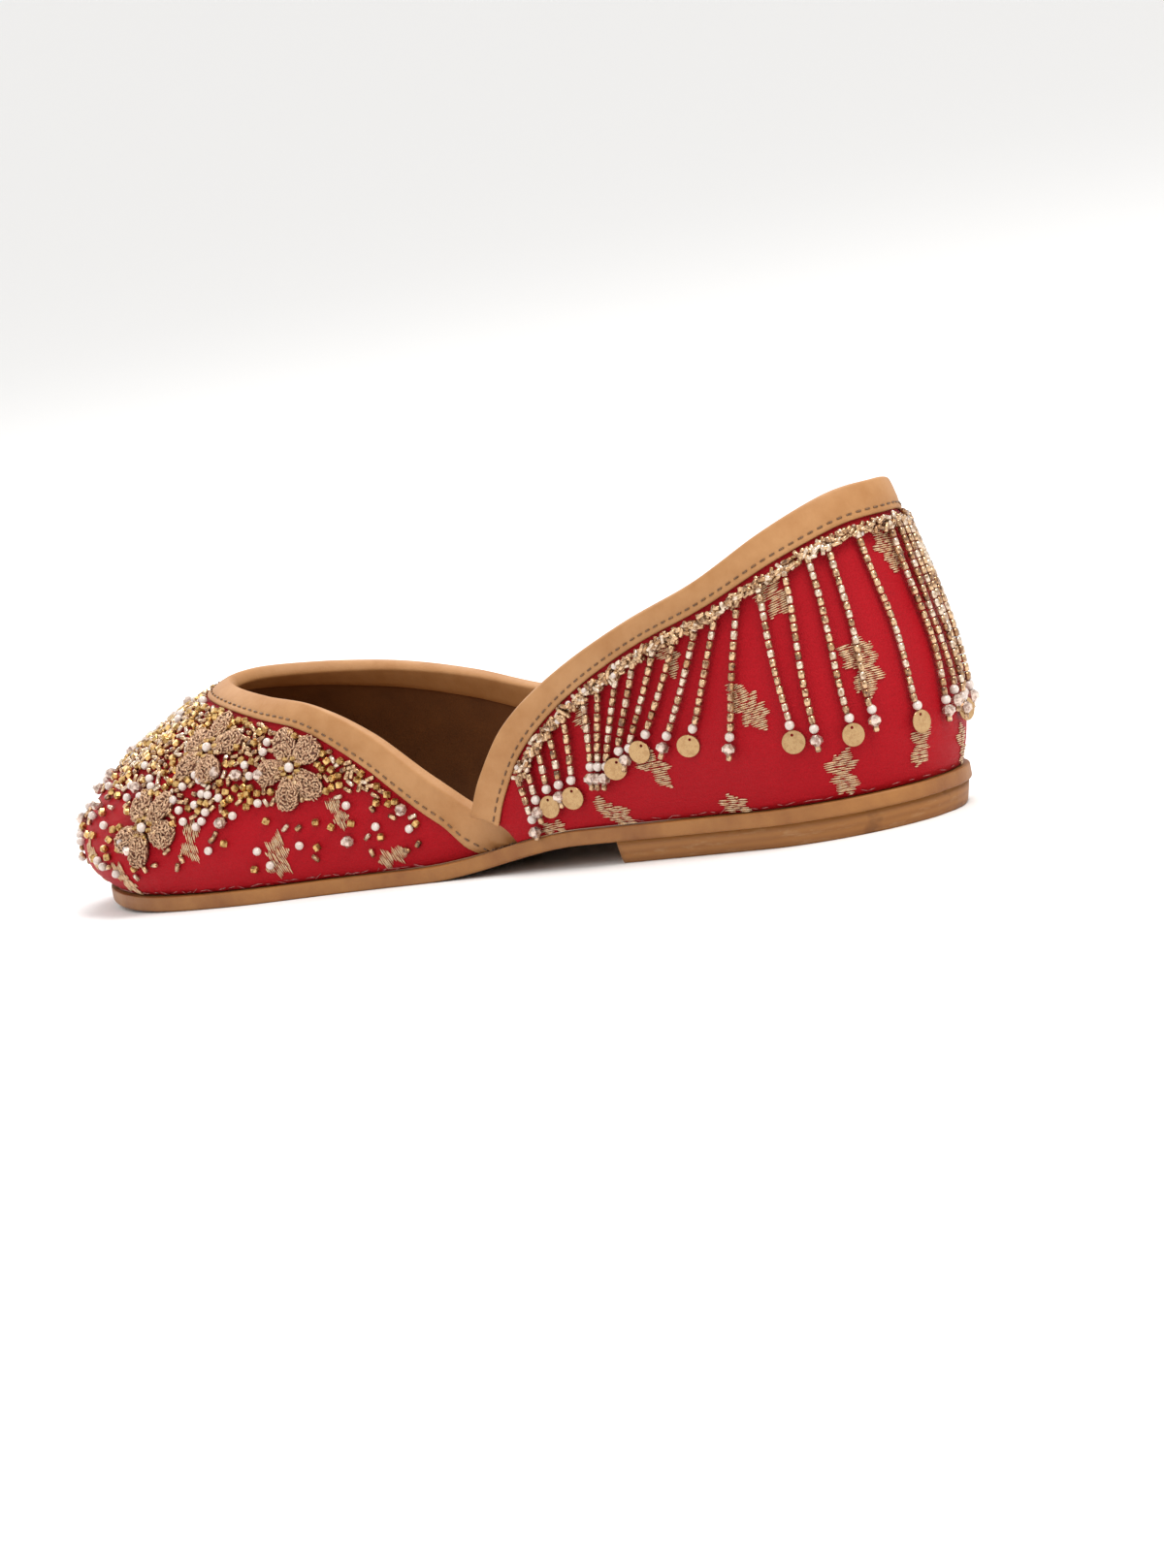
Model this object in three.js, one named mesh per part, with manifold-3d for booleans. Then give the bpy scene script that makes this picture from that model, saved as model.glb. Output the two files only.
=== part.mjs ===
// A half d'Orsay mojari shoe for the right foot, standing on its sole.
// Millimetres, +X to the toe, +Y to the open inner side, +Z up.
import * as THREE from "three";
import { mergeVertices } from "three/addons/utils/BufferGeometryUtils.js";
import Module from "manifold-3d";

const wasm = await Module();
wasm.setup();

// Sizes that drive the shoe
const SOLE_LENGTH = 250;
const BALL_WIDTH = 79;
const COLLAR_HEIGHT = 78;
const HEEL_LENGTH = 76;
const HEEL_ROUND = 34;
const TOE_ROUND = 40;
const SOLE_THICK = 3.6;
const LIFT_HEIGHT = 5.4;
const LIFT_TAPER = 1.2;
const SEAT_LEVEL = 10;
const WAIST_LENGTH = 50;
const TOE_SPRING = 2.4;
const SPRING_LENGTH = 55;
const EDGE_ROUND = 0.8;
const WALL = 1.6;
const FEATHER_INSET = 1.8;
const SEAT_GAP = 0.3;
const INSOLE_EDGE = 2.6;
const INSOLE_DOME = 1.4;
const INSOLE_ROUND = 1.2;
const INSOLE_FLAT = 12;
const INSOLE_TUCK = 5.8;
const BINDING_WIDTH = 6.5;
const BINDING_THICK = 0.6;
const LINING_GAP = 0.15;
const ROPE_WIDTH = 4;
const ROPE_THICK = 1.7;
const ROPE_GAP = 0.6;
const STRING_WIDTH = 1.7;
const STRING_LENGTH = 40;
const DISC_ACROSS = 5.5;
const CRYSTAL_ACROSS = 3.4;
const ROPE_LIFT = 0.3;
const FLOWER_ACROSS = 20;
const PETAL_THICK = 1.5;
const FLOWER_GAP = 0.6;

const HALF_LENGTH = SOLE_LENGTH / 2;
const HALF_BALL = BALL_WIDTH / 2;
const BREAST_X = HEEL_LENGTH - HALF_LENGTH;
const DEGREE = Math.PI / 180;

// Half widths of the sole, as shares of half the ball width, at shares of half the length
const SOLE = [
  { x: -1.0, inner: 0.74, outer: 0.74 },
  { x: -0.72, inner: 0.77, outer: 0.765 },
  { x: -0.36, inner: 0.785, outer: 0.785 },
  { x: -0.05, inner: 0.78, outer: 0.85 },
  { x: 0.25, inner: 0.86, outer: 0.96 },
  { x: 0.5, inner: 0.985, outer: 1.015 },
  { x: 0.72, inner: 0.955, outer: 0.93 },
  { x: 1.0, inner: 0.82, outer: 0.8 },
];

// Sections of the upper. It is one sheet: turn starts under the quarter at the inner waist, runs
// round the toe (180), the outer side and the heel (360), and ends over its own start. The foot of
// a section stands on the sole's edge, tuck walls further in. Its top is given in shares of half
// the length, half the ball width and the collar height. bulge is in shares of the toe's bulge,
// and band in shares of the binding's width.
const TOE_BULGE = 20;
const UPPER = [
  { turn: 78.9, tuck: 2.8, topX: -0.188, topY: 0.635, topZ: 0.136, bulge: 0.03, band: 1.1 },
  { turn: 84.5, tuck: 2.2, topX: -0.078, topY: 0.662, topZ: 0.17, bulge: 0.05, band: 1.15 },
  { turn: 91, tuck: 1, topX: 0.024, topY: 0.735, topZ: 0.292, bulge: 0.11, band: 1.1 },
  { turn: 99, tuck: 0, topX: 0.152, topY: 0.742, topZ: 0.456, bulge: 0.17, band: 1.1 },
  { turn: 108.7, tuck: 0, topX: 0.296, topY: 0.666, topZ: 0.558, bulge: 0.2, band: 0.9 },
  { turn: 119.7, tuck: 0, topX: 0.432, topY: 0.557, topZ: 0.594, bulge: 0.26, band: 0.85 },
  { turn: 132, tuck: 0, topX: 0.536, topY: 0.418, topZ: 0.619, bulge: 0.42, band: 0.85 },
  { turn: 146, tuck: 0, topX: 0.604, topY: 0.266, topZ: 0.636, bulge: 0.78, band: 0.9 },
  { turn: 161, tuck: 0, topX: 0.636, topY: 0.114, topZ: 0.642, bulge: 1, band: 0.9 },
  { turn: 180, tuck: 0, topX: 0.646, topY: -0.038, topZ: 0.643, bulge: 1.08, band: 0.9 },
  { turn: 198, tuck: 0, topX: 0.634, topY: -0.19, topZ: 0.64, bulge: 1, band: 0.9 },
  { turn: 212, tuck: 0, topX: 0.596, topY: -0.38, topZ: 0.626, bulge: 0.8, band: 0.9 },
  { turn: 225.5, tuck: 0, topX: 0.524, topY: -0.582, topZ: 0.603, bulge: 0.48, band: 0.9 },
  { turn: 238, tuck: 0, topX: 0.416, topY: -0.722, topZ: 0.571, bulge: 0.32, band: 0.9 },
  { turn: 251, tuck: 0, topX: 0.272, topY: -0.8, topZ: 0.517, bulge: 0.25, band: 0.9 },
  { turn: 264.5, tuck: 0, topX: 0.088, topY: -0.81, topZ: 0.44, bulge: 0.2, band: 0.9 },
  { turn: 277.5, tuck: 0, topX: -0.128, topY: -0.792, topZ: 0.41, bulge: 0.2, band: 0.9 },
  { turn: 289.6, tuck: 0, topX: -0.32, topY: -0.785, topZ: 0.494, bulge: 0.22, band: 0.85 },
  { turn: 302, tuck: 0, topX: -0.496, topY: -0.785, topZ: 0.654, bulge: 0.25, band: 0.85 },
  { turn: 314.7, tuck: 0, topX: -0.664, topY: -0.76, topZ: 0.769, bulge: 0.3, band: 0.9 },
  { turn: 328, tuck: 0, topX: -0.808, topY: -0.62, topZ: 0.885, bulge: 0.4, band: 1 },
  { turn: 342, tuck: 0, topX: -0.912, topY: -0.316, topZ: 0.977, bulge: 0.45, band: 1.1 },
  { turn: 360, tuck: 0, topX: -0.946, topY: 0, topZ: 1, bulge: 0.45, band: 1.12 },
  { turn: 378, tuck: 0, topX: -0.912, topY: 0.316, topZ: 0.99, bulge: 0.45, band: 1.1 },
  { turn: 392, tuck: 0, topX: -0.82, topY: 0.6, topZ: 0.917, bulge: 0.4, band: 1 },
  { turn: 405.3, tuck: 0, topX: -0.68, topY: 0.747, topZ: 0.803, bulge: 0.3, band: 0.85 },
  { turn: 418, tuck: 0, topX: -0.504, topY: 0.792, topZ: 0.705, bulge: 0.25, band: 0.8 },
  { turn: 428.4, tuck: -0.2, topX: -0.32, topY: 0.8, topZ: 0.577, bulge: 0.2, band: 0.9 },
  { turn: 434.7, tuck: -0.6, topX: -0.192, topY: 0.812, topZ: 0.445, bulge: 0.14, band: 1.05 },
  { turn: 438.5, tuck: -0.7, topX: -0.116, topY: 0.815, topZ: 0.3, bulge: 0.1, band: 1.1 },
  { turn: 441, tuck: -0.7, topX: -0.078, topY: 0.812, topZ: 0.192, bulge: 0.08, band: 1.1 },
];
const TURN_START = UPPER[0].turn;
const TURN_END = UPPER[UPPER.length - 1].turn;

// Strings of the fringe on the inner side: where each hangs, its lean to the toe in degrees, its
// length as a share of the longest, and 1 where it ends in a disc. The outer side mirrors them.
const STRINGS = [
  { turn: 360, lean: 0, reach: 1.04, disc: 0 },
  { turn: 371.3, lean: -3, reach: 1.03, disc: 1 },
  { turn: 379.5, lean: -2, reach: 0.93, disc: 0 },
  { turn: 384.2, lean: -3, reach: 0.9, disc: 1 },
  { turn: 389.1, lean: 0, reach: 0.85, disc: 0 },
  { turn: 394.2, lean: -3, reach: 0.76, disc: 1 },
  { turn: 397.9, lean: 19, reach: 0.67, disc: 0 },
  { turn: 401.7, lean: 33, reach: 0.6, disc: 1 },
  { turn: 405.4, lean: 38, reach: 0.6, disc: 0 },
  { turn: 409.6, lean: 41, reach: 0.53, disc: 1 },
  { turn: 413.6, lean: 38, reach: 0.53, disc: 0 },
  { turn: 417.2, lean: 33, reach: 0.47, disc: 1 },
  { turn: 419.8, lean: 32, reach: 0.5, disc: 0 },
  { turn: 422.7, lean: 26, reach: 0.43, disc: 0 },
  { turn: 425.1, lean: 18, reach: 0.37, disc: 0 },
  { turn: 428.4, lean: 19, reach: 0.34, disc: 1 },
  { turn: 430.9, lean: 16, reach: 0.28, disc: 0 },
  { turn: 432.9, lean: 16, reach: 0.22, disc: 1 },
  { turn: 434.9, lean: 17, reach: 0.18, disc: 0 },
  { turn: 436.3, lean: 20, reach: 0.2, disc: 0 },
];
const FRINGE_END = STRINGS[STRINGS.length - 1].turn;

// More strings that hang close together just round the heel on the outer side
const HEEL_STRINGS = [
  { turn: 356.2, reach: 1 },
  { turn: 352.5, reach: 1.05 },
  { turn: 345.7, reach: 0.97 },
  { turn: 343.1, reach: 0.95 },
];

// Flowers sewn on the vamp: section, share of the way up it, size as a share of the usual flower and
// turn of the first petal
const FLOWERS = [
  { name: "flower_inner_throat", turn: 127, up: 0.7, across: 0.95, spin: 20 },
  { name: "flower_inner_side", turn: 110.4, up: 0.62, across: 1, spin: 63 },
  { name: "flower_toe", turn: 135, up: 0.38, across: 1, spin: 54 },
  { name: "flower_outer_throat", turn: 229.5, up: 0.7, across: 0.95, spin: 88 },
  { name: "flower_outer_side", turn: 246, up: 0.62, across: 1, spin: 45 },
];
const PETALS = 5;

// Colours from the photo
const FINISH = {
  leather: { color: 0xc49664, roughness: 0.6, metalness: 0 },
  edge: { color: 0xae7c4b, roughness: 0.65, metalness: 0 },
  silk: { color: 0xb21c2a, roughness: 0.55, metalness: 0 },
  beads: { color: 0xc9a878, roughness: 0.3, metalness: 0.6 },
  thread: { color: 0xb8926a, roughness: 0.5, metalness: 0.4 },
};

// A column of a table, smoothly interpolated between its rows
function column(rows, key, name, at) {
  const last = rows.length - 1;
  let i = 0;
  while (i < last - 1 && at > rows[i + 1][key]) i++;
  const slope = (k) => {
    const a = rows[Math.max(k - 1, 0)];
    const b = rows[Math.min(k + 1, last)];
    return (b[name] - a[name]) / (b[key] - a[key]);
  };
  const span = rows[i + 1][key] - rows[i][key];
  const t = (at - rows[i][key]) / span;
  const t2 = t * t;
  const t3 = t2 * t;
  return (
    rows[i][name] * (2 * t3 - 3 * t2 + 1) +
    rows[i + 1][name] * (3 * t2 - 2 * t3) +
    span * (slope(i) * (t3 - 2 * t2 + t) + slope(i + 1) * (t3 - t2))
  );
}

const smoothStep = (t) => t * t * (3 - 2 * t);
const clamp01 = (t) => Math.min(Math.max(t, 0), 1);

// Height of the sole's underside: down from the lift over the waist, flat under the ball, then toe spring
function soleBottom(x) {
  const down = smoothStep(clamp01((BREAST_X + SEAT_LEVEL + WAIST_LENGTH - x) / WAIST_LENGTH));
  const rise = clamp01((x - HALF_LENGTH + SPRING_LENGTH) / SPRING_LENGTH);
  return LIFT_HEIGHT * down + TOE_SPRING * rise * rise;
}
const soleTop = (x) => soleBottom(x) + SOLE_THICK;

// The sole's outline: turn 0 is the back of the heel, 90 the inner waist, 180 the toe
function outline(turn) {
  const x = -HALF_LENGTH * Math.cos(turn * DEGREE);
  const inner = Math.sin(turn * DEGREE) >= 0;
  const width = HALF_BALL * column(SOLE, "x", inner ? "inner" : "outer", x / HALF_LENGTH);
  const round = x < 0 ? HEEL_ROUND : TOE_ROUND;
  const out = Math.max(Math.abs(x) - HALF_LENGTH + round, 0) / round;
  const y = width * Math.sqrt(Math.max(1 - out * out, 0)) * (inner ? 1 : -1);
  return new THREE.Vector2(x, y);
}

// Outward direction of the outline, and a point moved in from it
function outward(turn) {
  const step = outline(turn + 0.5).sub(outline(turn - 0.5)).normalize();
  return new THREE.Vector2(-step.y, step.x);
}
function soleEdge(turn, inset) {
  return outline(turn).addScaledVector(outward(turn), -inset);
}

// The section curve of the upper at one turn, from the sole up to the topline
const FOOT_RISE = 0.27;
const TOP_DROP = 0.28;
const TOP_REACH = 0.75;
function section(turn) {
  const value = (name) => column(UPPER, "turn", name, turn);
  const out = outward(turn);
  const edge = soleEdge(turn, FEATHER_INSET + value("tuck") * WALL);
  const foot = new THREE.Vector3(edge.x, edge.y, soleTop(edge.x) + SEAT_GAP);
  const top = new THREE.Vector3(
    value("topX") * HALF_LENGTH,
    value("topY") * HALF_BALL,
    value("topZ") * COLLAR_HEIGHT,
  );
  const rise = top.z - foot.z;
  const low = foot.clone();
  low.x += out.x * value("bulge") * TOE_BULGE;
  low.y += out.y * value("bulge") * TOE_BULGE;
  low.z += FOOT_RISE * rise;
  const high = top.clone();
  high.x += TOP_REACH * (foot.x - top.x);
  high.y += TOP_REACH * (foot.y - top.y);
  high.z -= TOP_DROP * rise;
  return new THREE.CubicBezierCurve3(foot, low, high, top);
}

// A point of the upper: up runs from 0 at the sole to 1 at the topline and goes on past it in a
// straight line; off is the distance out from the upper's outer face
function onUpper(turn, up, off) {
  const step = 0.2;
  const before = Math.max(turn - step, TURN_START);
  const after = Math.min(turn + step, TURN_END);
  const curve = section(turn);
  const within = Math.min(up, 1);
  const rise = curve.getTangent(within);
  const across = section(after).getPoint(within).sub(section(before).getPoint(within));
  const normal = rise.clone().cross(across).normalize();
  const point = curve.getPoint(within);
  if (up > 1) point.addScaledVector(rise, (up - 1) * curve.getLength());
  point.addScaledVector(normal, off);
  point.z = Math.max(point.z, soleTop(point.x) + SEAT_GAP);
  return point;
}

// Share of the way up a section that lies a distance below the topline, square to the topline
const LEAST_SQUARE = 0.6;
const LEAST_SHARE = 0.03;
function below(turn, distance) {
  const curve = section(turn);
  const after = section(Math.min(turn + 0.5, TURN_END)).getPoint(1);
  const before = section(Math.max(turn - 0.5, TURN_START)).getPoint(1);
  const run = after.sub(before).normalize();
  const rise = curve.getTangent(1);
  const square = Math.max(rise.clone().cross(run).length(), LEAST_SQUARE);
  const share = 1 - distance / (square * curve.getLength());
  return share > 1 ? share : curve.getUtoTmapping(Math.max(share, LEAST_SHARE));
}

// A solid from a row of cross-sections, each a pair of lines with the same number of points
function ribbon(sections) {
  const n = sections[0].a.length;
  const ring = (s) => [...s.a, ...s.b.slice().reverse()];
  const points = sections.flatMap(ring);
  const size = 2 * n;
  const faces = [];
  const quad = (a, b, c, d) => faces.push(a, b, c, a, c, d);
  for (let i = 0; i < sections.length - 1; i++) {
    for (let j = 0; j < size; j++) {
      const k = (j + 1) % size;
      quad(i * size + j, i * size + k, (i + 1) * size + k, (i + 1) * size + j);
    }
  }
  const end = (sections.length - 1) * size;
  for (let j = 0; j < n - 1; j++) {
    quad(j, size - 1 - j, size - 2 - j, j + 1);
    quad(end + j, end + j + 1, end + size - 2 - j, end + size - 1 - j);
  }
  const geometry = new THREE.BufferGeometry().setFromPoints(points);
  geometry.setIndex(faces);
  return facingOut(geometry);
}

// The geometry with its faces turned out, whichever way its rows ran
function facingOut(geometry) {
  const p = geometry.getAttribute("position");
  const index = Array.from(geometry.index.array);
  const corner = (k) => new THREE.Vector3().fromBufferAttribute(p, index[k]);
  let volume = 0;
  for (let i = 0; i < index.length; i += 3) volume += corner(i).dot(corner(i + 1).cross(corner(i + 2)));
  if (volume < 0) index.reverse();
  geometry.setIndex(index);
  return geometry;
}

const steps = (from, to, count) =>
  Array.from({ length: count + 1 }, (unused, i) => from + ((to - from) * i) / count);

// A plate of the sole: cross-sections from the heel to the toe, each level an inset and a height
function plate(turns, under, over) {
  const side = (turn, level) => {
    const edge = soleEdge(turn, level.inset);
    return new THREE.Vector3(edge.x, edge.y, level.z(edge.x));
  };
  const line = (turn, levels) => [
    ...levels.map((level) => side(turn, level)),
    ...levels.map((level) => side(360 - turn, level)).reverse(),
  ];
  return ribbon(turns.map((turn) => ({ a: line(turn, under), b: line(turn, over) })));
}

const TIP = 4;
function makeOutsole() {
  return plate(
    steps(TIP, 180 - TIP, 38),
    [
      { inset: 0, z: (x) => soleBottom(x) + EDGE_ROUND },
      { inset: EDGE_ROUND, z: soleBottom },
    ],
    [
      { inset: 0, z: (x) => soleTop(x) - EDGE_ROUND / 2 },
      { inset: EDGE_ROUND / 2, z: soleTop },
    ],
  );
}

// The heel lift ends in a straight breast, square to the ground
const SPARE = 20;
const SPARE_TURN = 6;
function makeHeelLift() {
  const breast = Math.acos(-BREAST_X / HALF_LENGTH) / DEGREE;
  const lift = plate(
    steps(TIP, breast + SPARE_TURN, 22),
    [{ inset: LIFT_TAPER + EDGE_ROUND, z: () => 0 }],
    [{ inset: EDGE_ROUND, z: () => LIFT_HEIGHT }],
  );
  const box = new THREE.BoxGeometry(HEEL_LENGTH + SPARE, BALL_WIDTH, 4 * LIFT_HEIGHT);
  box.translate(BREAST_X - (HEEL_LENGTH + SPARE) / 2, 0, 0);
  return backToThree(toSolid(lift).intersect(toSolid(box)));
}

// The insole is tucked in where the vamp's wing passes inside the quarter
const INSOLE_TIP = 7;
const TUCK_SPREAD = 16;
function makeInsole() {
  const inset = FEATHER_INSET + WALL + SEAT_GAP;
  const floor = (x) => soleTop(x) + SEAT_GAP;
  const tucked = (turn) => INSOLE_TUCK * smoothStep(clamp01(1.5 - Math.abs(turn - TURN_START) / TUCK_SPREAD));
  const side = (turn, extra, z) => {
    const edge = soleEdge(turn, inset + extra + tucked(turn));
    return new THREE.Vector3(edge.x, edge.y, floor(edge.x) + z);
  };
  const across = (turn, levels) => [
    ...levels.map(([extra, z]) => side(turn, extra, z)),
    ...levels.map(([extra, z]) => side(360 - turn, extra, z)).reverse(),
  ];
  const under = [
    [INSOLE_ROUND / 3, 0],
    [INSOLE_FLAT / 3, 0],
    [INSOLE_FLAT, 0],
  ];
  const over = [
    [0, INSOLE_EDGE - INSOLE_ROUND],
    [INSOLE_ROUND, INSOLE_EDGE],
    [INSOLE_FLAT, INSOLE_EDGE + INSOLE_DOME],
  ];
  const turns = steps(INSOLE_TIP, 180 - INSOLE_TIP, 30);
  return ribbon(turns.map((turn) => ({ a: across(turn, under), b: across(turn, over) })));
}

// Turns at which the upper is cut: closer round the toe and the heel
const UPPER_TURNS = [
  ...steps(TURN_START, 92, 7),
  ...steps(92, 140, 12).slice(1),
  ...steps(140, 220, 21).slice(1),
  ...steps(220, 325, 14).slice(1),
  ...steps(325, 395, 16).slice(1),
  ...steps(395, TURN_END, 14).slice(1),
];

function makeUpper() {
  const ups = steps(0, 1, 8);
  const wall = (turn, off) => ups.map((up) => onUpper(turn, up, off));
  return ribbon(UPPER_TURNS.map((turn) => ({ a: wall(turn, 0), b: wall(turn, -WALL) })));
}

// The binding is folded over the topline: down the outside, over the edge and down the lining
function makeBinding() {
  const near = SEAT_GAP;
  const far = near + BINDING_THICK;
  return ribbon(
    UPPER_TURNS.map((turn) => {
      const low = below(turn, BINDING_WIDTH * column(UPPER, "turn", "band", turn));
      const mid = (1 + low) / 2;
      const rim = below(turn, -near);
      const crest = below(turn, -far);
      const round = below(turn, -near - BINDING_THICK / 3);
      return {
        a: [
          onUpper(turn, low, near),
          onUpper(turn, mid, near),
          onUpper(turn, rim, near),
          onUpper(turn, rim, -WALL - near - LINING_GAP),
          onUpper(turn, mid, -WALL - near - LINING_GAP),
          onUpper(turn, low, -WALL - near - LINING_GAP),
        ],
        b: [
          onUpper(turn, low, far),
          onUpper(turn, mid, far),
          onUpper(turn, round, far),
          onUpper(turn, round, -WALL - far - LINING_GAP),
          onUpper(turn, mid, -WALL - far - LINING_GAP),
          onUpper(turn, low, -WALL - far - LINING_GAP),
        ],
      };
    }),
  );
}

// Geometry to a manifold solid and back
function toSolid(geometry) {
  const plain = geometry.clone();
  plain.deleteAttribute("normal");
  plain.deleteAttribute("uv");
  const merged = mergeVertices(plain, 1e-4);
  return new wasm.Manifold(
    new wasm.Mesh({
      numProp: 3,
      vertProperties: merged.attributes.position.array,
      triVerts: new Uint32Array(merged.index.array),
    }),
  );
}
function backToThree(solid) {
  const mesh = solid.getMesh();
  const geometry = new THREE.BufferGeometry();
  geometry.setAttribute("position", new THREE.BufferAttribute(mesh.vertProperties, 3));
  geometry.setIndex(new THREE.BufferAttribute(mesh.triVerts, 1));
  return geometry;
}

// How fast the turn grows along the topline, in degrees a millimetre
function turnRate(turn) {
  const before = onUpper(turn - 0.5, 1, 0);
  const after = onUpper(turn + 0.5, 1, 0);
  return 1 / after.distanceTo(before);
}

// Middle of the rope: its distance below the topline
const ropeDepth = (turn) =>
  BINDING_WIDTH * column(UPPER, "turn", "band", turn) + ROPE_GAP + ROPE_WIDTH / 2;

// A point of a string: reach is the length from the rope, aside the offset square to the string
function onString({ turn, toToe, lean }, reach, aside, off) {
  const along = reach * Math.sin(lean * DEGREE) + aside * Math.cos(lean * DEGREE);
  const down = reach * Math.cos(lean * DEGREE) - aside * Math.sin(lean * DEGREE);
  const at = turn + toToe * along * turnRate(turn);
  return onUpper(at, below(at, ropeDepth(turn) + down), off);
}

// A string of beads that ends in a drop: a disc or a smaller crystal
function makeString(string) {
  const length = STRING_LENGTH * string.reach;
  const drop = (string.disc ? DISC_ACROSS : CRYSTAL_ACROSS) / 2;
  const thread = STRING_WIDTH / 2;
  const profile = [
    { reach: 0, half: thread },
    { reach: length / 3, half: thread },
    { reach: (2 * length) / 3, half: thread },
    { reach: length, half: thread },
    { reach: length + drop, half: drop },
    { reach: length + 2 * drop, half: thread },
  ];
  const inner = SEAT_GAP + ROPE_LIFT;
  const outer = inner + STRING_WIDTH;
  return toSolid(
    ribbon(
      profile.map(({ reach, half }) => ({
        a: [onString(string, reach, -half, inner), onString(string, reach, half, inner)],
        b: [onString(string, reach, -half, outer), onString(string, reach, half, outer)],
      })),
    ),
  );
}

// The fringe: a rope of beads under the binding, with the strings fused on
function makeFringe() {
  const turns = steps(720 - FRINGE_END, FRINGE_END, 44);
  const rope = ribbon(
    turns.map((turn) => {
      const high = below(turn, ropeDepth(turn) - ROPE_WIDTH / 2);
      const low = below(turn, ropeDepth(turn) + ROPE_WIDTH / 2);
      return {
        a: [onUpper(turn, high, SEAT_GAP), onUpper(turn, low, SEAT_GAP)],
        b: [onUpper(turn, high, SEAT_GAP + ROPE_THICK), onUpper(turn, low, SEAT_GAP + ROPE_THICK)],
      };
    }),
  );
  const inner = STRINGS.map((row) => ({ ...row, toToe: 1 }));
  const outer = inner.slice(1).map((row) => ({ ...row, turn: 720 - row.turn, toToe: -1 }));
  const heel = HEEL_STRINGS.map((row) => ({ ...row, toToe: -1, lean: 0, disc: 0 }));
  const hang = (solid, string) => solid.add(makeString(string));
  return backToThree([...inner, ...outer, ...heel].reduce(hang, toSolid(rope)));
}

// A flower: a disc of petals laid on the vamp, thickest half way out
const PETAL_SIDES = 5;
const WAIST_SHARE = 0.5;
function makeFlower({ turn, up, across, spin }) {
  const perTurn = onUpper(turn + 0.5, up, 0).distanceTo(onUpper(turn - 0.5, up, 0));
  const perUp = onUpper(turn, up + 0.01, 0).distanceTo(onUpper(turn, up - 0.01, 0)) / 0.02;
  const place = (share, angle, off) => {
    const lobe = WAIST_SHARE + (1 - WAIST_SHARE) * Math.abs(Math.cos((PETALS * angle) / 2));
    const reach = (share * lobe * across * FLOWER_ACROSS) / 2;
    const way = angle + spin * DEGREE;
    return onUpper(turn + (reach * Math.cos(way)) / perTurn, up + (reach * Math.sin(way)) / perUp, off);
  };
  const sides = PETALS * PETAL_SIDES;
  const rings = [
    [0.5, FLOWER_GAP],
    [1, FLOWER_GAP],
    [1, FLOWER_GAP + PETAL_THICK / 2],
    [0.55, FLOWER_GAP + PETAL_THICK],
  ];
  const points = rings.flatMap(([share, off]) =>
    Array.from({ length: sides }, (unused, i) => place(share, (2 * Math.PI * i) / sides, off)),
  );
  points.push(place(0, 0, FLOWER_GAP), place(0, 0, FLOWER_GAP + PETAL_THICK * 0.8));
  const faces = [];
  for (let i = 0; i < sides; i++) {
    const k = (i + 1) % sides;
    for (let r = 0; r < rings.length - 1; r++) {
      const [a, b] = [r * sides, (r + 1) * sides];
      faces.push(a + i, a + k, b + k, a + i, b + k, b + i);
    }
    faces.push(rings.length * sides, k, i);
    faces.push(rings.length * sides + 1, 3 * sides + i, 3 * sides + k);
  }
  const geometry = new THREE.BufferGeometry().setFromPoints(points);
  geometry.setIndex(faces);
  return facingOut(geometry);
}

const group = new THREE.Group();
function add(name, geometry, finish) {
  const mesh = new THREE.Mesh(geometry, new THREE.MeshStandardMaterial(FINISH[finish]));
  mesh.name = name;
  group.add(mesh);
}
add("outsole", makeOutsole(), "leather");
add("heel_lift", makeHeelLift(), "edge");
add("insole", makeInsole(), "leather");
add("upper", makeUpper(), "silk");
add("topline_binding", makeBinding(), "leather");
add("bead_fringe", makeFringe(), "beads");
for (const flower of FLOWERS) add(flower.name, makeFlower(flower), "thread");

// The origin lies under the middle of the whole shoe, on the ground
const middle = new THREE.Box3().setFromObject(group).getCenter(new THREE.Vector3());
group.position.set(-middle.x, -middle.y, 0);

export default group;
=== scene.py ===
# Looks of a half d'Orsay mojari shoe for the right foot: silk, bead fringe, thread flowers, leather.
# Lengths are millimetres in the part's own axes until a mesh is made, which is in metres.
import math

import bpy
import numpy as np
from mathutils import Matrix, Vector


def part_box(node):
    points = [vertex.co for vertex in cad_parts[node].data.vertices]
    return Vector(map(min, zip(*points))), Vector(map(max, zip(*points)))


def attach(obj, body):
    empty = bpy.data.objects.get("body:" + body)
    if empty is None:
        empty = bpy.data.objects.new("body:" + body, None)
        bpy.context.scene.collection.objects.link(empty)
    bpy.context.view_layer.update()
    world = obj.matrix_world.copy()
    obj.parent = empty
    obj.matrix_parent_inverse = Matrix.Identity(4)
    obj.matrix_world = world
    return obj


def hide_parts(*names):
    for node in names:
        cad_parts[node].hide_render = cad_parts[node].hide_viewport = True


SCENE = bpy.context.scene
MM = 0.001
DICE = np.random.default_rng(11)

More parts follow.
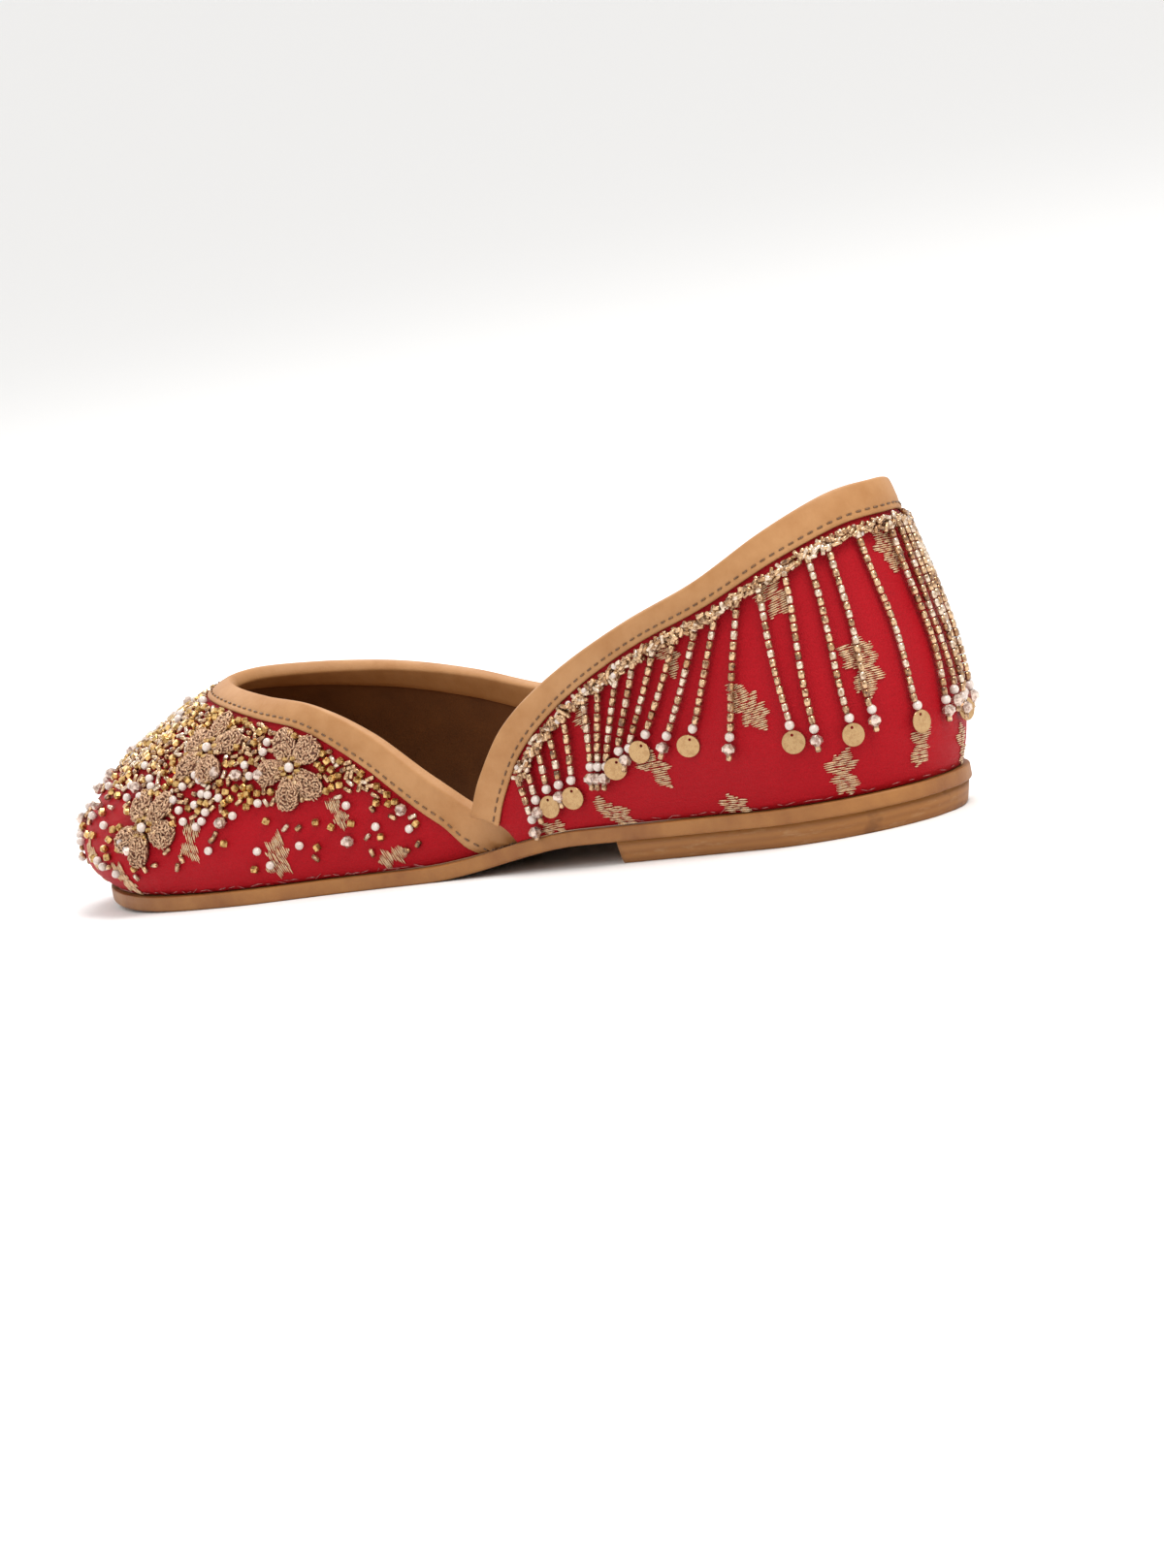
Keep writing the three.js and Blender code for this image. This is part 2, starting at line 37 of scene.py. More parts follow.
# Sizes of the part, as in its source
SOLE_LENGTH = 250
BALL_WIDTH = 79
COLLAR_HEIGHT = 78
HEEL_LENGTH = 76
HEEL_ROUND = 34
TOE_ROUND = 40
SOLE_THICK = 3.6
LIFT_HEIGHT = 5.4
LIFT_TAPER = 1.2
SEAT_LEVEL = 10
WAIST_LENGTH = 50
TOE_SPRING = 2.4
SPRING_LENGTH = 55
EDGE_ROUND = 0.8
WALL = 1.6
FEATHER_INSET = 1.8
SEAT_GAP = 0.3
INSOLE_EDGE = 2.6
INSOLE_DOME = 1.4
INSOLE_ROUND = 1.2
INSOLE_FLAT = 12
INSOLE_TUCK = 5.8
INSOLE_TIP = 7
TUCK_SPREAD = 16
BINDING_WIDTH = 6.5
BINDING_THICK = 0.6
LINING_GAP = 0.15
ROPE_WIDTH = 4
ROPE_GAP = 0.6
STRING_WIDTH = 1.7
STRING_LENGTH = 40
DISC_ACROSS = 5.5
CRYSTAL_ACROSS = 3.4
ROPE_LIFT = 0.3
TOE_BULGE = 20
FOOT_RISE = 0.27
TOP_DROP = 0.28
TOP_REACH = 0.75
TIP = 4
LEAST_SQUARE = 0.6
LEAST_SHARE = 0.03

HALF_LENGTH = SOLE_LENGTH / 2
HALF_BALL = BALL_WIDTH / 2
BREAST_X = HEEL_LENGTH - HALF_LENGTH


def table(names, rows):
    values = np.array(rows, float)
    return {name: values[:, i] for i, name in enumerate(names.split())}


# Half widths of the sole, as shares of half the ball width, at shares of half the length
SOLE = table("x inner outer", [
    (-1.0, 0.74, 0.74),
    (-0.72, 0.77, 0.765),
    (-0.36, 0.785, 0.785),
    (-0.05, 0.78, 0.85),
    (0.25, 0.86, 0.96),
    (0.5, 0.985, 1.015),
    (0.72, 0.955, 0.93),
    (1.0, 0.82, 0.8),
])

# Sections of the upper, from under the quarter at the inner waist round the toe and the heel
UPPER = table("turn tuck top_x top_y top_z bulge band", [
    (78.9, 2.8, -0.188, 0.635, 0.136, 0.03, 1.1),
    (84.5, 2.2, -0.078, 0.662, 0.17, 0.05, 1.15),
    (91, 1, 0.024, 0.735, 0.292, 0.11, 1.1),
    (99, 0, 0.152, 0.742, 0.456, 0.17, 1.1),
    (108.7, 0, 0.296, 0.666, 0.558, 0.2, 0.9),
    (119.7, 0, 0.432, 0.557, 0.594, 0.26, 0.85),
    (132, 0, 0.536, 0.418, 0.619, 0.42, 0.85),
    (146, 0, 0.604, 0.266, 0.636, 0.78, 0.9),
    (161, 0, 0.636, 0.114, 0.642, 1, 0.9),
    (180, 0, 0.646, -0.038, 0.643, 1.08, 0.9),
    (198, 0, 0.634, -0.19, 0.64, 1, 0.9),
    (212, 0, 0.596, -0.38, 0.626, 0.8, 0.9),
    (225.5, 0, 0.524, -0.582, 0.603, 0.48, 0.9),
    (238, 0, 0.416, -0.722, 0.571, 0.32, 0.9),
    (251, 0, 0.272, -0.8, 0.517, 0.25, 0.9),
    (264.5, 0, 0.088, -0.81, 0.44, 0.2, 0.9),
    (277.5, 0, -0.128, -0.792, 0.41, 0.2, 0.9),
    (289.6, 0, -0.32, -0.785, 0.494, 0.22, 0.85),
    (302, 0, -0.496, -0.785, 0.654, 0.25, 0.85),
    (314.7, 0, -0.664, -0.76, 0.769, 0.3, 0.9),
    (328, 0, -0.808, -0.62, 0.885, 0.4, 1),
    (342, 0, -0.912, -0.316, 0.977, 0.45, 1.1),
    (360, 0, -0.946, 0, 1, 0.45, 1.12),
    (378, 0, -0.912, 0.316, 0.99, 0.45, 1.1),
    (392, 0, -0.82, 0.6, 0.917, 0.4, 1),
    (405.3, 0, -0.68, 0.747, 0.803, 0.3, 0.85),
    (418, 0, -0.504, 0.792, 0.705, 0.25, 0.8),
    (428.4, -0.2, -0.32, 0.8, 0.577, 0.2, 0.9),
    (434.7, -0.6, -0.192, 0.812, 0.445, 0.14, 1.05),
    (438.5, -0.7, -0.116, 0.815, 0.3, 0.1, 1.1),
    (441, -0.7, -0.078, 0.812, 0.192, 0.08, 1.1),
])
TURN_START = UPPER["turn"][0]
TURN_END = UPPER["turn"][-1]
CURVE_STEPS = 33
FINE_TURNS = 1500

# Strings of the fringe on the inner side: where each hangs, its lean to the toe in degrees, its length
# as a share of the longest, and 1 where it ends in a disc, not a crystal. The outer side mirrors them.
STRINGS = table("turn lean reach disc", [
    (360, 0, 1.04, 0),
    (371.3, -3, 1.03, 1),
    (379.5, -2, 0.93, 0),
    (384.2, -3, 0.9, 1),
    (389.1, 0, 0.85, 0),
    (394.2, -3, 0.76, 1),
    (397.9, 19, 0.67, 0),
    (401.7, 33, 0.6, 1),
    (405.4, 38, 0.6, 0),
    (409.6, 41, 0.53, 1),
    (413.6, 38, 0.53, 0),
    (417.2, 33, 0.47, 1),
    (419.8, 32, 0.5, 0),
    (422.7, 26, 0.43, 0),
    (425.1, 18, 0.37, 0),
    (428.4, 19, 0.34, 1),
    (430.9, 16, 0.28, 0),
    (432.9, 16, 0.22, 1),
    (434.9, 17, 0.18, 0),
    (436.3, 20, 0.2, 0),
])
FRINGE_END = STRINGS["turn"][-1]

# More strings that hang close together just round the heel on the outer side: turn and reach
HEEL_STRINGS = [(356.2, 1.0), (352.5, 1.05), (345.7, 0.97), (343.1, 0.95)]

# Flowers sewn on the vamp: section, share of the way up it, size across, turn of the first petal
FLOWERS = [
    ("flower_inner_throat", 127.0, 0.735, 19.5, 20),
    ("flower_inner_side", 110.4, 0.655, 20.5, 63),
    ("flower_toe", 135.0, 0.385, 20, 54),
    ("flower_outer_throat", 229.5, 0.735, 19.5, 88),
    ("flower_outer_side", 246, 0.655, 20.5, 45),
]

# Woven sprigs: section, share of the way up, length, turn of the stem, and 0 round to 1 slim
SPRIGS = [
    (112.8, 0.169, 13, 100, 0.1), (98, 0.116, 11, 165, 0.8), (150.5, 0.24, 11, 30, 0.3),
    (126, 0.3, 12, 95, 0.3), (141, 0.1, 12, 70, 0.4), (411.9, 0.758, 12, 60, 0.3),
    (426.6, 0.71, 10, 100, 0.2), (418.1, 0.3, 14, 47, 1), (426.5, 0.1, 14, 33, 1),
    (435, 0.06, 9, 5, 0.9), (406.7, 0.04, 10, 20, 0.2), (399.7, 0.43, 16, 68, 0.4),
    (391.8, 0.767, 13, 62, 0.4), (385.5, 0.1, 13, 80, 0), (377.8, 0.44, 17, 78, 0.4),
    (362.3, 0.761, 14, 60, 0.4), (367.8, 0.14, 12, 100, 0.3), (350, 0.08, 12, 60, 0.2),
    (344, 0.45, 16, 120, 0.4), (335, 0.77, 12, 60, 0.3), (328, 0.12, 13, 20, 0.2),
    (320, 0.45, 15, 110, 0.4), (309, 0.75, 12, 60, 0.3), (306, 0.1, 12, 150, 0.9),
    (297, 0.42, 13, 130, 0.8), (289, 0.12, 12, 70, 0.2), (276, 0.55, 11, 20, 0.3),
    (271, 0.12, 12, 120, 0.5), (258, 0.3, 12, 60, 0.2), (246, 0.14, 12, 90, 0.3),
    (232, 0.16, 12, 30, 0.4), (219, 0.3, 12, 50, 0.2), (206, 0.14, 12, 80, 0.3),
    (193, 0.32, 11, 20, 0.2), (180, 0.12, 12, 60, 0.4), (165, 0.28, 11, 100, 0.3),
    (160, 0.08, 10, 30, 0.4), (104, 0.42, 9, 60, 0.2),
]

# The photo's camera: turned from the inner side to the heel, raised, rolled, at its distance
CAMERA_TURN = 39.24
CAMERA_RISE = 6.68
CAMERA_ROLL = 11.2
CAMERA_AWAY = 2428
CAMERA_ASIDE = (-10.73, -16.2)
PIXELS_A_MM = 4.34
IMAGE_HEIGHT = 1617
SENSOR = 36


def column(rows, key, name, at):
    k, v = rows[key], rows[name]
    at = np.asarray(at, float)
    i = np.clip(np.searchsorted(k, at, side="left") - 1, 0, len(k) - 2)
    slope = np.empty(len(k))
    slope[1:-1] = (v[2:] - v[:-2]) / (k[2:] - k[:-2])
    slope[0] = (v[1] - v[0]) / (k[1] - k[0])
    slope[-1] = (v[-1] - v[-2]) / (k[-1] - k[-2])
    span = k[i + 1] - k[i]
    t = (at - k[i]) / span
    t2, t3 = t * t, t * t * t
    ends = v[i] * (2 * t3 - 3 * t2 + 1) + v[i + 1] * (3 * t2 - 2 * t3)
    return ends + span * (slope[i] * (t3 - 2 * t2 + t) + slope[i + 1] * (t3 - t2))


def smooth_step(t):
    t = np.clip(t, 0, 1)
    return t * t * (3 - 2 * t)


def unit(v):
    return v / np.maximum(np.linalg.norm(v, axis=-1, keepdims=True), 1e-9)


# The part's surfaces
def sole_bottom(x):
    down = smooth_step((BREAST_X + SEAT_LEVEL + WAIST_LENGTH - x) / WAIST_LENGTH)
    rise = np.clip((x - HALF_LENGTH + SPRING_LENGTH) / SPRING_LENGTH, 0, 1)
    return LIFT_HEIGHT * down + TOE_SPRING * rise * rise


def sole_top(x):
    return sole_bottom(x) + SOLE_THICK


def outline(turn):
    angle = np.radians(turn)
    x = -HALF_LENGTH * np.cos(angle)
    inner = np.sin(angle) >= 0
    share = x / HALF_LENGTH
    sides = (column(SOLE, "x", name, share) for name in ("inner", "outer"))
    width = HALF_BALL * np.where(inner, *sides)
    bend = np.where(x < 0, HEEL_ROUND, TOE_ROUND)
    out = np.maximum(np.abs(x) - HALF_LENGTH + bend, 0) / bend
    y = width * np.sqrt(np.maximum(1 - out * out, 0)) * np.where(inner, 1, -1)
    return np.stack([x, y], -1)


def outward(turn):
    step = unit(outline(np.asarray(turn) + 0.5) - outline(np.asarray(turn) - 0.5))
    return np.stack([-step[..., 1], step[..., 0]], -1)


def sole_edge(turn, inset):
    return outline(turn) - outward(turn) * np.asarray(inset)[..., None]


def section(turn):
    value = {name: column(UPPER, "turn", name, turn) for name in UPPER}
    out = outward(turn)
    edge = sole_edge(turn, FEATHER_INSET + value["tuck"] * WALL)
    foot = np.concatenate([edge, (sole_top(edge[..., 0]) + SEAT_GAP)[..., None]], -1)
    sizes = {"top_x": HALF_LENGTH, "top_y": HALF_BALL, "top_z": COLLAR_HEIGHT}
    top = np.stack([value[name] * size for name, size in sizes.items()], -1)
    rise = top[..., 2] - foot[..., 2]
    low = foot.copy()
    low[..., :2] += out * (value["bulge"] * TOE_BULGE)[..., None]
    low[..., 2] += FOOT_RISE * rise
    high = top.copy()
    high[..., :2] += TOP_REACH * (foot - top)[..., :2]
    high[..., 2] -= TOP_DROP * rise
    return foot, low, high, top


def bezier(curve, t):
    a, b, c, d = curve
    t = np.asarray(t)[..., None]
    return (1 - t) ** 3 * a + 3 * (1 - t) ** 2 * t * b + 3 * (1 - t) * t * t * c + t**3 * d


def bezier_rise(curve, t):
    a, b, c, d = curve
    t = np.asarray(t)[..., None]
    return unit((1 - t) ** 2 * (b - a) + 2 * (1 - t) * t * (c - b) + t * t * (d - c))


def lengths(curve):
    """Lengths along a section at even steps of its own measure."""
    points = bezier([p[..., None, :] for p in curve], np.linspace(0, 1, CURVE_STEPS))
    steps = np.linalg.norm(np.diff(points, axis=-2), axis=-1)
    return np.concatenate([np.zeros(steps.shape[:-1] + (1,)), np.cumsum(steps, -1)], -1)


def surface(turn, up):
    """Points of the upper's outer face, with the directions up, out and along it."""
    turn, up = np.broadcast_arrays(np.asarray(turn, float), np.asarray(up, float))
    curve = section(turn)
    within = np.minimum(up, 1)
    rise = bezier_rise(curve, within)
    after = bezier(section(np.minimum(turn + 0.2, TURN_END)), within)
    before = bezier(section(np.maximum(turn - 0.2, TURN_START)), within)
    across = unit(after - before)
    normal = unit(np.cross(rise, across))
    past = np.maximum(up - 1, 0) * lengths(curve)[..., -1]
    point = bezier(curve, within) + rise * past[..., None]
    return point, rise, normal, across


def on_upper(turn, up, off):
    point, _, normal, _ = surface(turn, up)
    point = point + normal * np.asarray(off, float)[..., None]
    point[..., 2] = np.maximum(point[..., 2], sole_top(point[..., 0]) + SEAT_GAP)
    return point


def below(turn, distance):
    """Share of the way up a section that lies a distance below the topline, square to it."""
    turn, distance = np.broadcast_arrays(np.asarray(turn, float), np.asarray(distance, float))
    curve = section(turn)
    ahead = section(np.minimum(turn + 0.5, TURN_END))[3]
    behind = section(np.maximum(turn - 0.5, TURN_START))[3]
    run = unit(ahead - behind)
    rise = bezier_rise(curve, np.ones(turn.shape))
    square = np.maximum(np.linalg.norm(np.cross(rise, run), axis=-1), LEAST_SQUARE)
    along = lengths(curve)
    share = 1 - distance / (square * along[..., -1])
    along = along / along[..., -1:]
    at = np.clip(share, LEAST_SHARE, 1)[..., None]
    k = np.clip((along < at).sum(-1, keepdims=True) - 1, 0, along.shape[-1] - 2)
    low = np.take_along_axis(along, k, -1)
    high = np.take_along_axis(along, k + 1, -1)
    t = ((k + (at - low) / (high - low)) / (along.shape[-1] - 1))[..., 0]
    return np.where(share > 1, share, t)


def band(turn):
    return BINDING_WIDTH * column(UPPER, "turn", "band", turn)


def rope_depth(turn):
    return band(turn) + ROPE_GAP + ROPE_WIDTH / 2


def turn_rate(turn):
    """How fast the turn grows along the topline, in degrees a millimetre."""
    after = section(np.asarray(turn) + 0.5)[3]
    before = section(np.asarray(turn) - 0.5)[3]
    return 1 / np.linalg.norm(after - before, axis=-1)


def even_turns(start, end, pitch, depth=0.0):
    """Turns at even steps along the topline, or along a line a depth below it."""
    fine = np.linspace(start, end, FINE_TURNS)
    points = surface(fine, below(fine, depth))[0]
    run = np.concatenate([[0], np.cumsum(np.linalg.norm(np.diff(points, axis=0), axis=1))])
    count = max(int(run[-1] / pitch), 1)
    return np.interp(np.linspace(0, run[-1], count + 1), run, fine)


# Meshes: a shape is its vertices and a list of face arrays
def facing_out(points, faces):
    """The same shape, with its faces turned over where they enclose it inside out."""
    volume = 0.0
    for rows in faces:
        fan = [points[rows[:, k]] for k in range(rows.shape[1])]
        for b, c in zip(fan[1:], fan[2:]):
            volume += np.einsum("ij,ij->", fan[0], np.cross(b, c))
    return (points, [rows[:, ::-1] for rows in faces]) if volume < 0 else (points, faces)


def ring_faces(rows, size, closed=False):
    """Quads between neighbouring rings of points, and from the last ring to the first if closed."""
    i, j = np.meshgrid(np.arange(rows if closed else rows - 1), np.arange(size), indexing="ij")
    k, n = (j + 1) % size, (i + 1) % rows
    return np.stack([i * size + j, i * size + k, n * size + k, n * size + j], -1).reshape(-1, 4)


def end_faces(rows, size):
    """One flat face on the first ring and one on the last."""
    face = np.arange(size)[None]
    return face[:, ::-1], face + (rows - 1) * size


def shape_from_rings(rings, closed=False):
    """A solid from cross-sections, each a ring of points, with strip ends or joined end to start."""
    rows, size = rings.shape[:2]
    faces = [ring_faces(rows, size, closed)]
    if not closed:
        c = np.arange(size // 2 - 1)
        cap = np.stack([c, size - 1 - c, size - 2 - c, c + 1], -1)
        faces += [cap, cap[:, ::-1] + (rows - 1) * size]
    return facing_out(rings.reshape(-1, 3), faces)


def turned(profile, sides):
    """A unit solid turned about z from (z, radius) pairs, with flat ends."""
    angle = 2 * np.pi * np.arange(sides) / sides
    circle = np.stack([np.cos(angle), np.sin(angle), np.zeros(sides)], -1)
    rings = np.array([r * circle + (0, 0, z) for z, r in profile])
    return rings.reshape(-1, 3), [ring_faces(len(profile), sides), *end_faces(len(profile), sides)]


def copies(template, centres, along, out, sizes):
    """Copies of a unit template: its z runs along, its y out; sizes are across, out and along."""
    points, faces = template
    centres, along, out = (np.asarray(v, float).reshape(-1, 3) for v in (centres, along, out))
    along = unit(along)
    across = unit(np.cross(out, along))
    out = np.cross(along, across)
    frame = np.stack([across, out, along], 1) * np.broadcast_to(sizes, (len(centres), 3))[:, :, None]
    placed = centres[:, None] + np.einsum("vk,nkj->nvj", points, frame)
    start = np.arange(len(centres))[:, None, None] * len(points)
    return placed.reshape(-1, 3), [(rows[None] + start).reshape(-1, rows.shape[1]) for rows in faces]


def rods(thick, half):
    """Sizes for copies of thin straight bits: half their thickness twice, and half their length."""
    thick = np.broadcast_to(thick, half.shape)
    return np.stack([thick, thick, half], 1)


def strewn(across, rise, normal, spread, tip):
    """Directions that lie on a surface, turned at random from across and tipped a little out."""
    angle = DICE.normal(0, spread, len(across))[:, None]
    tips = DICE.normal(0, tip, (len(across), 1))
    return across * np.cos(angle) + rise * np.sin(angle) + normal * tips


# Looks whose faces stay flat: cut glass and metal
FACETED = ("gold", "crystal", "disc")


def add_object(name, data):
    thing = bpy.data.objects.new(name, data)
    SCENE.collection.objects.link(thing)
    return thing


def add_piece(name, shapes, node=None):
    """One object from pairs of a shape and its look's name, riding on the root body."""
    points = np.concatenate([shape[0] for shape, look in shapes])
    used = list(dict.fromkeys(look for shape, look in shapes))
    corners, looks, rounds = [], [], []
    base = 0
    for (vertices, faces), look in shapes:
        for rows in faces:
            corners += (rows + base).tolist()
            looks += [used.index(look)] * len(rows)
            rounds += [look not in FACETED and rows.shape[1] == 4] * len(rows)
        base += len(vertices)
    mesh = bpy.data.meshes.new(name)
    mesh.from_pydata(((points - MIDDLE) * MM).tolist(), [], corners)
    mesh.polygons.foreach_set("material_index", looks)
    mesh.polygons.foreach_set("use_smooth", rounds)
    for look in used:
        mesh.materials.append(LOOKS[look])
    piece = add_object(name, mesh)
    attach(piece, "root")
    if node:
        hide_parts(node)


# Materials. Colours are written as they look in the photo, whose light is brighter than plain white
LIGHT_SHARE = 0.7


def linear(value):
    """One channel of a picture, 0 to 1, to linear light."""
    return value / 12.92 if value <= 0.04045 else ((value + 0.055) / 1.055) ** 2.4


def colour(code):
    """A colour as it looks in a picture, to the linear values of the surface."""
    parts = [int(code[i:i + 2], 16) / 255 for i in (0, 2, 4)]
    return tuple(LIGHT_SHARE * linear(part) for part in parts) + (1.0,)


# Sockets of the colour mix node: its share, its two colours and its result
MIX_INPUTS = (0, 6, 7)
MIX_OUTPUT = 2
WAVE_SCALE = 0.314


class Look:
    """A material with a few calls to build its nodes."""

    def __init__(self, name, **settings):
        self.material = bpy.data.materials.new(name)
        self.material.use_nodes = True
        self.tree = self.material.node_tree
        self.shader = self.tree.nodes["Principled BSDF"]
        self.place = self.node("ShaderNodeTexCoord").outputs["Object"]
        for key, value in settings.items():
            self.shader.inputs[key.replace("_", " ")].default_value = value

    def fill(self, socket, value):
        """Links a socket to another one, or sets it to a colour or a number."""
        if isinstance(value, bpy.types.NodeSocket):
            self.tree.links.new(value, socket)
        else:
            socket.default_value = colour(value) if isinstance(value, str) else value

    def node(self, kind, inputs=(), **settings):
        node = self.tree.nodes.new(kind)
        for key, value in settings.items():
            setattr(node, key, value)
        for key, value in dict(inputs).items():
            self.fill(node.inputs[key], value)
        return node

    def noise(self, size, detail=3, rough=0.5, stretch=(1, 1, 1)):
        place = self.node("ShaderNodeMapping", {"Vector": self.place, "Scale": stretch})
        inputs = {"Vector": place.outputs["Vector"], "Scale": 1 / (size * MM)}
        inputs.update({"Detail": detail, "Roughness": rough})
        return self.node("ShaderNodeTexNoise", inputs).outputs["Fac"]

    def cells(self, size):
        inputs = {"Vector": self.place, "Scale": 1 / (size * MM)}
        return self.node("ShaderNodeTexVoronoi", inputs).outputs["Distance"]

    def waves(self, size, distort):
        """Layers that lie one on the other."""
        inputs = {"Vector": self.place, "Scale": WAVE_SCALE / (size * MM), "Distortion": distort}
        return self.node("ShaderNodeTexWave", inputs, bands_direction="Z").outputs["Fac"]

    def ramp(self, value, *stops):
        node = self.node("ShaderNodeValToRGB", {"Fac": value})
        for element, (at, code) in zip(node.color_ramp.elements, stops):
            element.position = at
            element.color = colour(code)
        return node.outputs["Color"]

    def spread(self, value, start, end):
        """A value whose range from start is fitted to the range end."""
        names = ("Value", "From Min", "From Max", "To Min", "To Max")
        inputs = dict(zip(names, (value, *start, *end)))
        return self.node("ShaderNodeMapRange", inputs).outputs["Result"]

    def range(self, value, low, high):
        return self.spread(value, (0, 1), (low, high))

    def mask(self, value, low, high, most=1.0):
        """0 where the value is under low, rising to most where it is over high."""
        return self.spread(value, (low, high), (0, most))

    def mix(self, share, a, b):
        inputs = dict(zip(MIX_INPUTS, (share, a, b)))
        return self.node("ShaderNodeMix", inputs, data_type="RGBA").outputs[MIX_OUTPUT]

    def bump(self, height, depth, strength, before=None):
        inputs = {"Height": height, "Distance": depth * MM, "Strength": strength}
        if before:
            inputs["Normal"] = before
        return self.node("ShaderNodeBump", inputs).outputs["Normal"]

    def finish(self, base, rough, normal):
        for name, value in (("Base Color", base), ("Roughness", rough), ("Normal", normal)):
            self.fill(self.shader.inputs[name], value)
        return self.material


def silk_look():
    look = Look("red_silk", Sheen_Weight=0.04, Sheen_Roughness=0.35, Specular_IOR_Level=0.12)
    look.shader.inputs["Sheen Tint"].default_value = colour("e0404a")
    slub = look.noise(1.4, 4, 0.6, (0.35, 0.35, 2.2))
    broad = look.noise(26, 2)
    weave = look.noise(0.4, 3, 0.75)
    base = look.mix(look.range(slub, 0.2, 0.8), "b60b1a", "cd1526")
    base = look.mix(look.mask(weave, 0.45, 0.65, 0.5), base, "9e0613")
    base = look.mix(look.range(broad, 0.0, 0.45), base, "a60917")
    normal = look.bump(weave, 0.24, 1.0)
    normal = look.bump(slub, 0.2, 0.8, normal)
    normal = look.bump(broad, 1.6, 0.7, normal)
    return look.finish(base, look.range(slub, 0.48, 0.62), normal)


def leather_look(name, light, dark, rough=(0.5, 0.66), grain=0.045, mottle=9):
    look = Look(name, Specular_IOR_Level=0.4)
    broad = look.noise(mottle, 4, 0.6)
    pores = look.cells(0.55)
    crease = look.noise(2.6, 5, 0.6)
    base = look.mix(look.mask(broad, 0.35, 0.7), light, dark)
    base = look.mix(look.mask(crease, 0.55, 0.8, 0.3), base, dark)
    normal = look.bump(pores, grain, 0.6)
    normal = look.bump(crease, 0.22, 0.6, normal)
    return look.finish(base, look.range(broad, *rough), normal)


def lift_look():
    look = Look("lift_leather", Specular_IOR_Level=0.4)
    layer = look.waves(1.8, 0.8)
    scuff = look.noise(3.2, 6, 0.7, (0.4, 0.4, 2.0))
    stain = look.noise(11, 3, 0.6)
    base = look.mix(look.range(layer, 0.1, 0.55), "b17539", "945c2b")
    base = look.mix(look.mask(scuff, 0.55, 0.7, 0.4), base, "cfa274")
    base = look.mix(look.mask(stain, 0.6, 0.68, 0.6), base, "7a4a1f")
    normal = look.bump(layer, 0.12, 0.5)
    normal = look.bump(scuff, 0.14, 0.6, normal)
    return look.finish(base, look.range(scuff, 0.42, 0.72), normal)


def bead_look(name, light, dark, metal, rough, coat=0.6):
    look = Look(name, Metallic=metal, Coat_Weight=coat, Coat_Roughness=0.05, Specular_IOR_Level=0.6)
    tone = look.noise(1.1, 3, 0.6)
    base = look.ramp(tone, (0.38, dark), (0.56, light))
    return look.finish(base, look.range(tone, rough, rough + 0.14), look.bump(tone, 0.05, 0.4))


def thread_look(name, light, dark, metal=0.55, split=(0.4, 0.56), relief=1.0):
    look = Look(name, Metallic=metal, Specular_IOR_Level=0.6)
    fibre = look.noise(0.55, 3, 0.8)
    knots = look.cells(0.9)
    base = look.ramp(fibre, (split[0], dark), (split[1], light))
    normal = look.bump(knots, 0.4 * relief, 1.0)
    normal = look.bump(fibre, 0.3 * relief, 1.0, normal)
    return look.finish(base, look.range(fibre, 0.34, 0.55), normal)


def make_looks():
    return {
        "silk": silk_look(),
        "binding": leather_look("binding_leather", "c9925c", "b98049"),
        "insole": leather_look("insole_leather", "be8d58", "b07e4b"),
        "sole": leather_look("sole_leather", "b3783c", "965c2b", (0.45, 0.62), 0.05, 14),
        # The lining is coloured darker than the insole's leather: painted shade from inside the shoe.
        "lining": leather_look("lining_leather", "82522b", "714524", (0.6, 0.75)),
        "lift": lift_look(),
        "fray": thread_look("silk_fray", "d98a86", "a8403c", 0.0),
        "stitch": thread_look("stitch_thread", "8a6038", "684524", 0.0),
        "glass": bead_look("champagne_glass", "f6cc9c", "86562f", 0.74, 0.1),
        "pale": bead_look("pale_glass", "fde6cc", "b58d68", 0.65, 0.1),
        "amber": bead_look("amber_glass", "cc9a68", "6a4228", 0.75, 0.14),
        "gold": bead_look("gold_beads", "f8cb80", "a06f30", 0.88, 0.12, 0.3),
        "pearl": bead_look("pearl", "f2e2d8", "dfc9bb", 0.0, 0.16, 0.8),
        "crystal": bead_look("lilac_crystal", "f6dccb", "a07c6c", 0.6, 0.05, 1.0),
        "disc": bead_look("gold_disc", "cda674", "bd9464", 0.85, 0.2, 0.2),
        "zari": thread_look("rose_gold_thread", "ffd6ae", "a86e4e", 0.45, (0.38, 0.56), 0.6),
        # The petals' cushions in dark brown: painted shade in the hollows between the loops of thread.
        "zari_painted_shade": thread_look("rose_gold_painted_shade", "9c6042", "522c1c", 0.2),
        "sprig": thread_look("woven_gold_thread", "ffe4bc", "e8ab74", 0.4, (0.36, 0.6), 0.25),
    }


# Templates for the small things, of radius and half length 1
TUBE_BEAD = turned([(-1, 0.55), (-0.86, 0.95), (0, 1), (0.86, 0.95), (1, 0.55)], 8)
CUT_BEAD = turned([(-1, 0.6), (-0.7, 1), (0.7, 1), (1, 0.6)], 6)
CRYSTAL = turned([(-1, 0.38), (-0.35, 0.98), (0.35, 0.98), (1, 0.38)], 8)
STRAND = turned([(-1, 0.35), (-0.3, 1), (0.3, 1), (1, 0.35)], 4)
PEARL_RINGS = 9
PEARL_ANGLES = [math.pi * (i + 0.35) / (PEARL_RINGS - 0.3) for i in range(PEARL_RINGS)]
PEARL = turned([(-math.cos(angle), math.sin(angle)) for angle in PEARL_ANGLES], 12)
DISC_SIDES = 28
DISC_HOLE = 0.13
DISC_HOLE_AT = 0.62
DISC_RIM = 0.97
DISC_BEVEL = 0.4


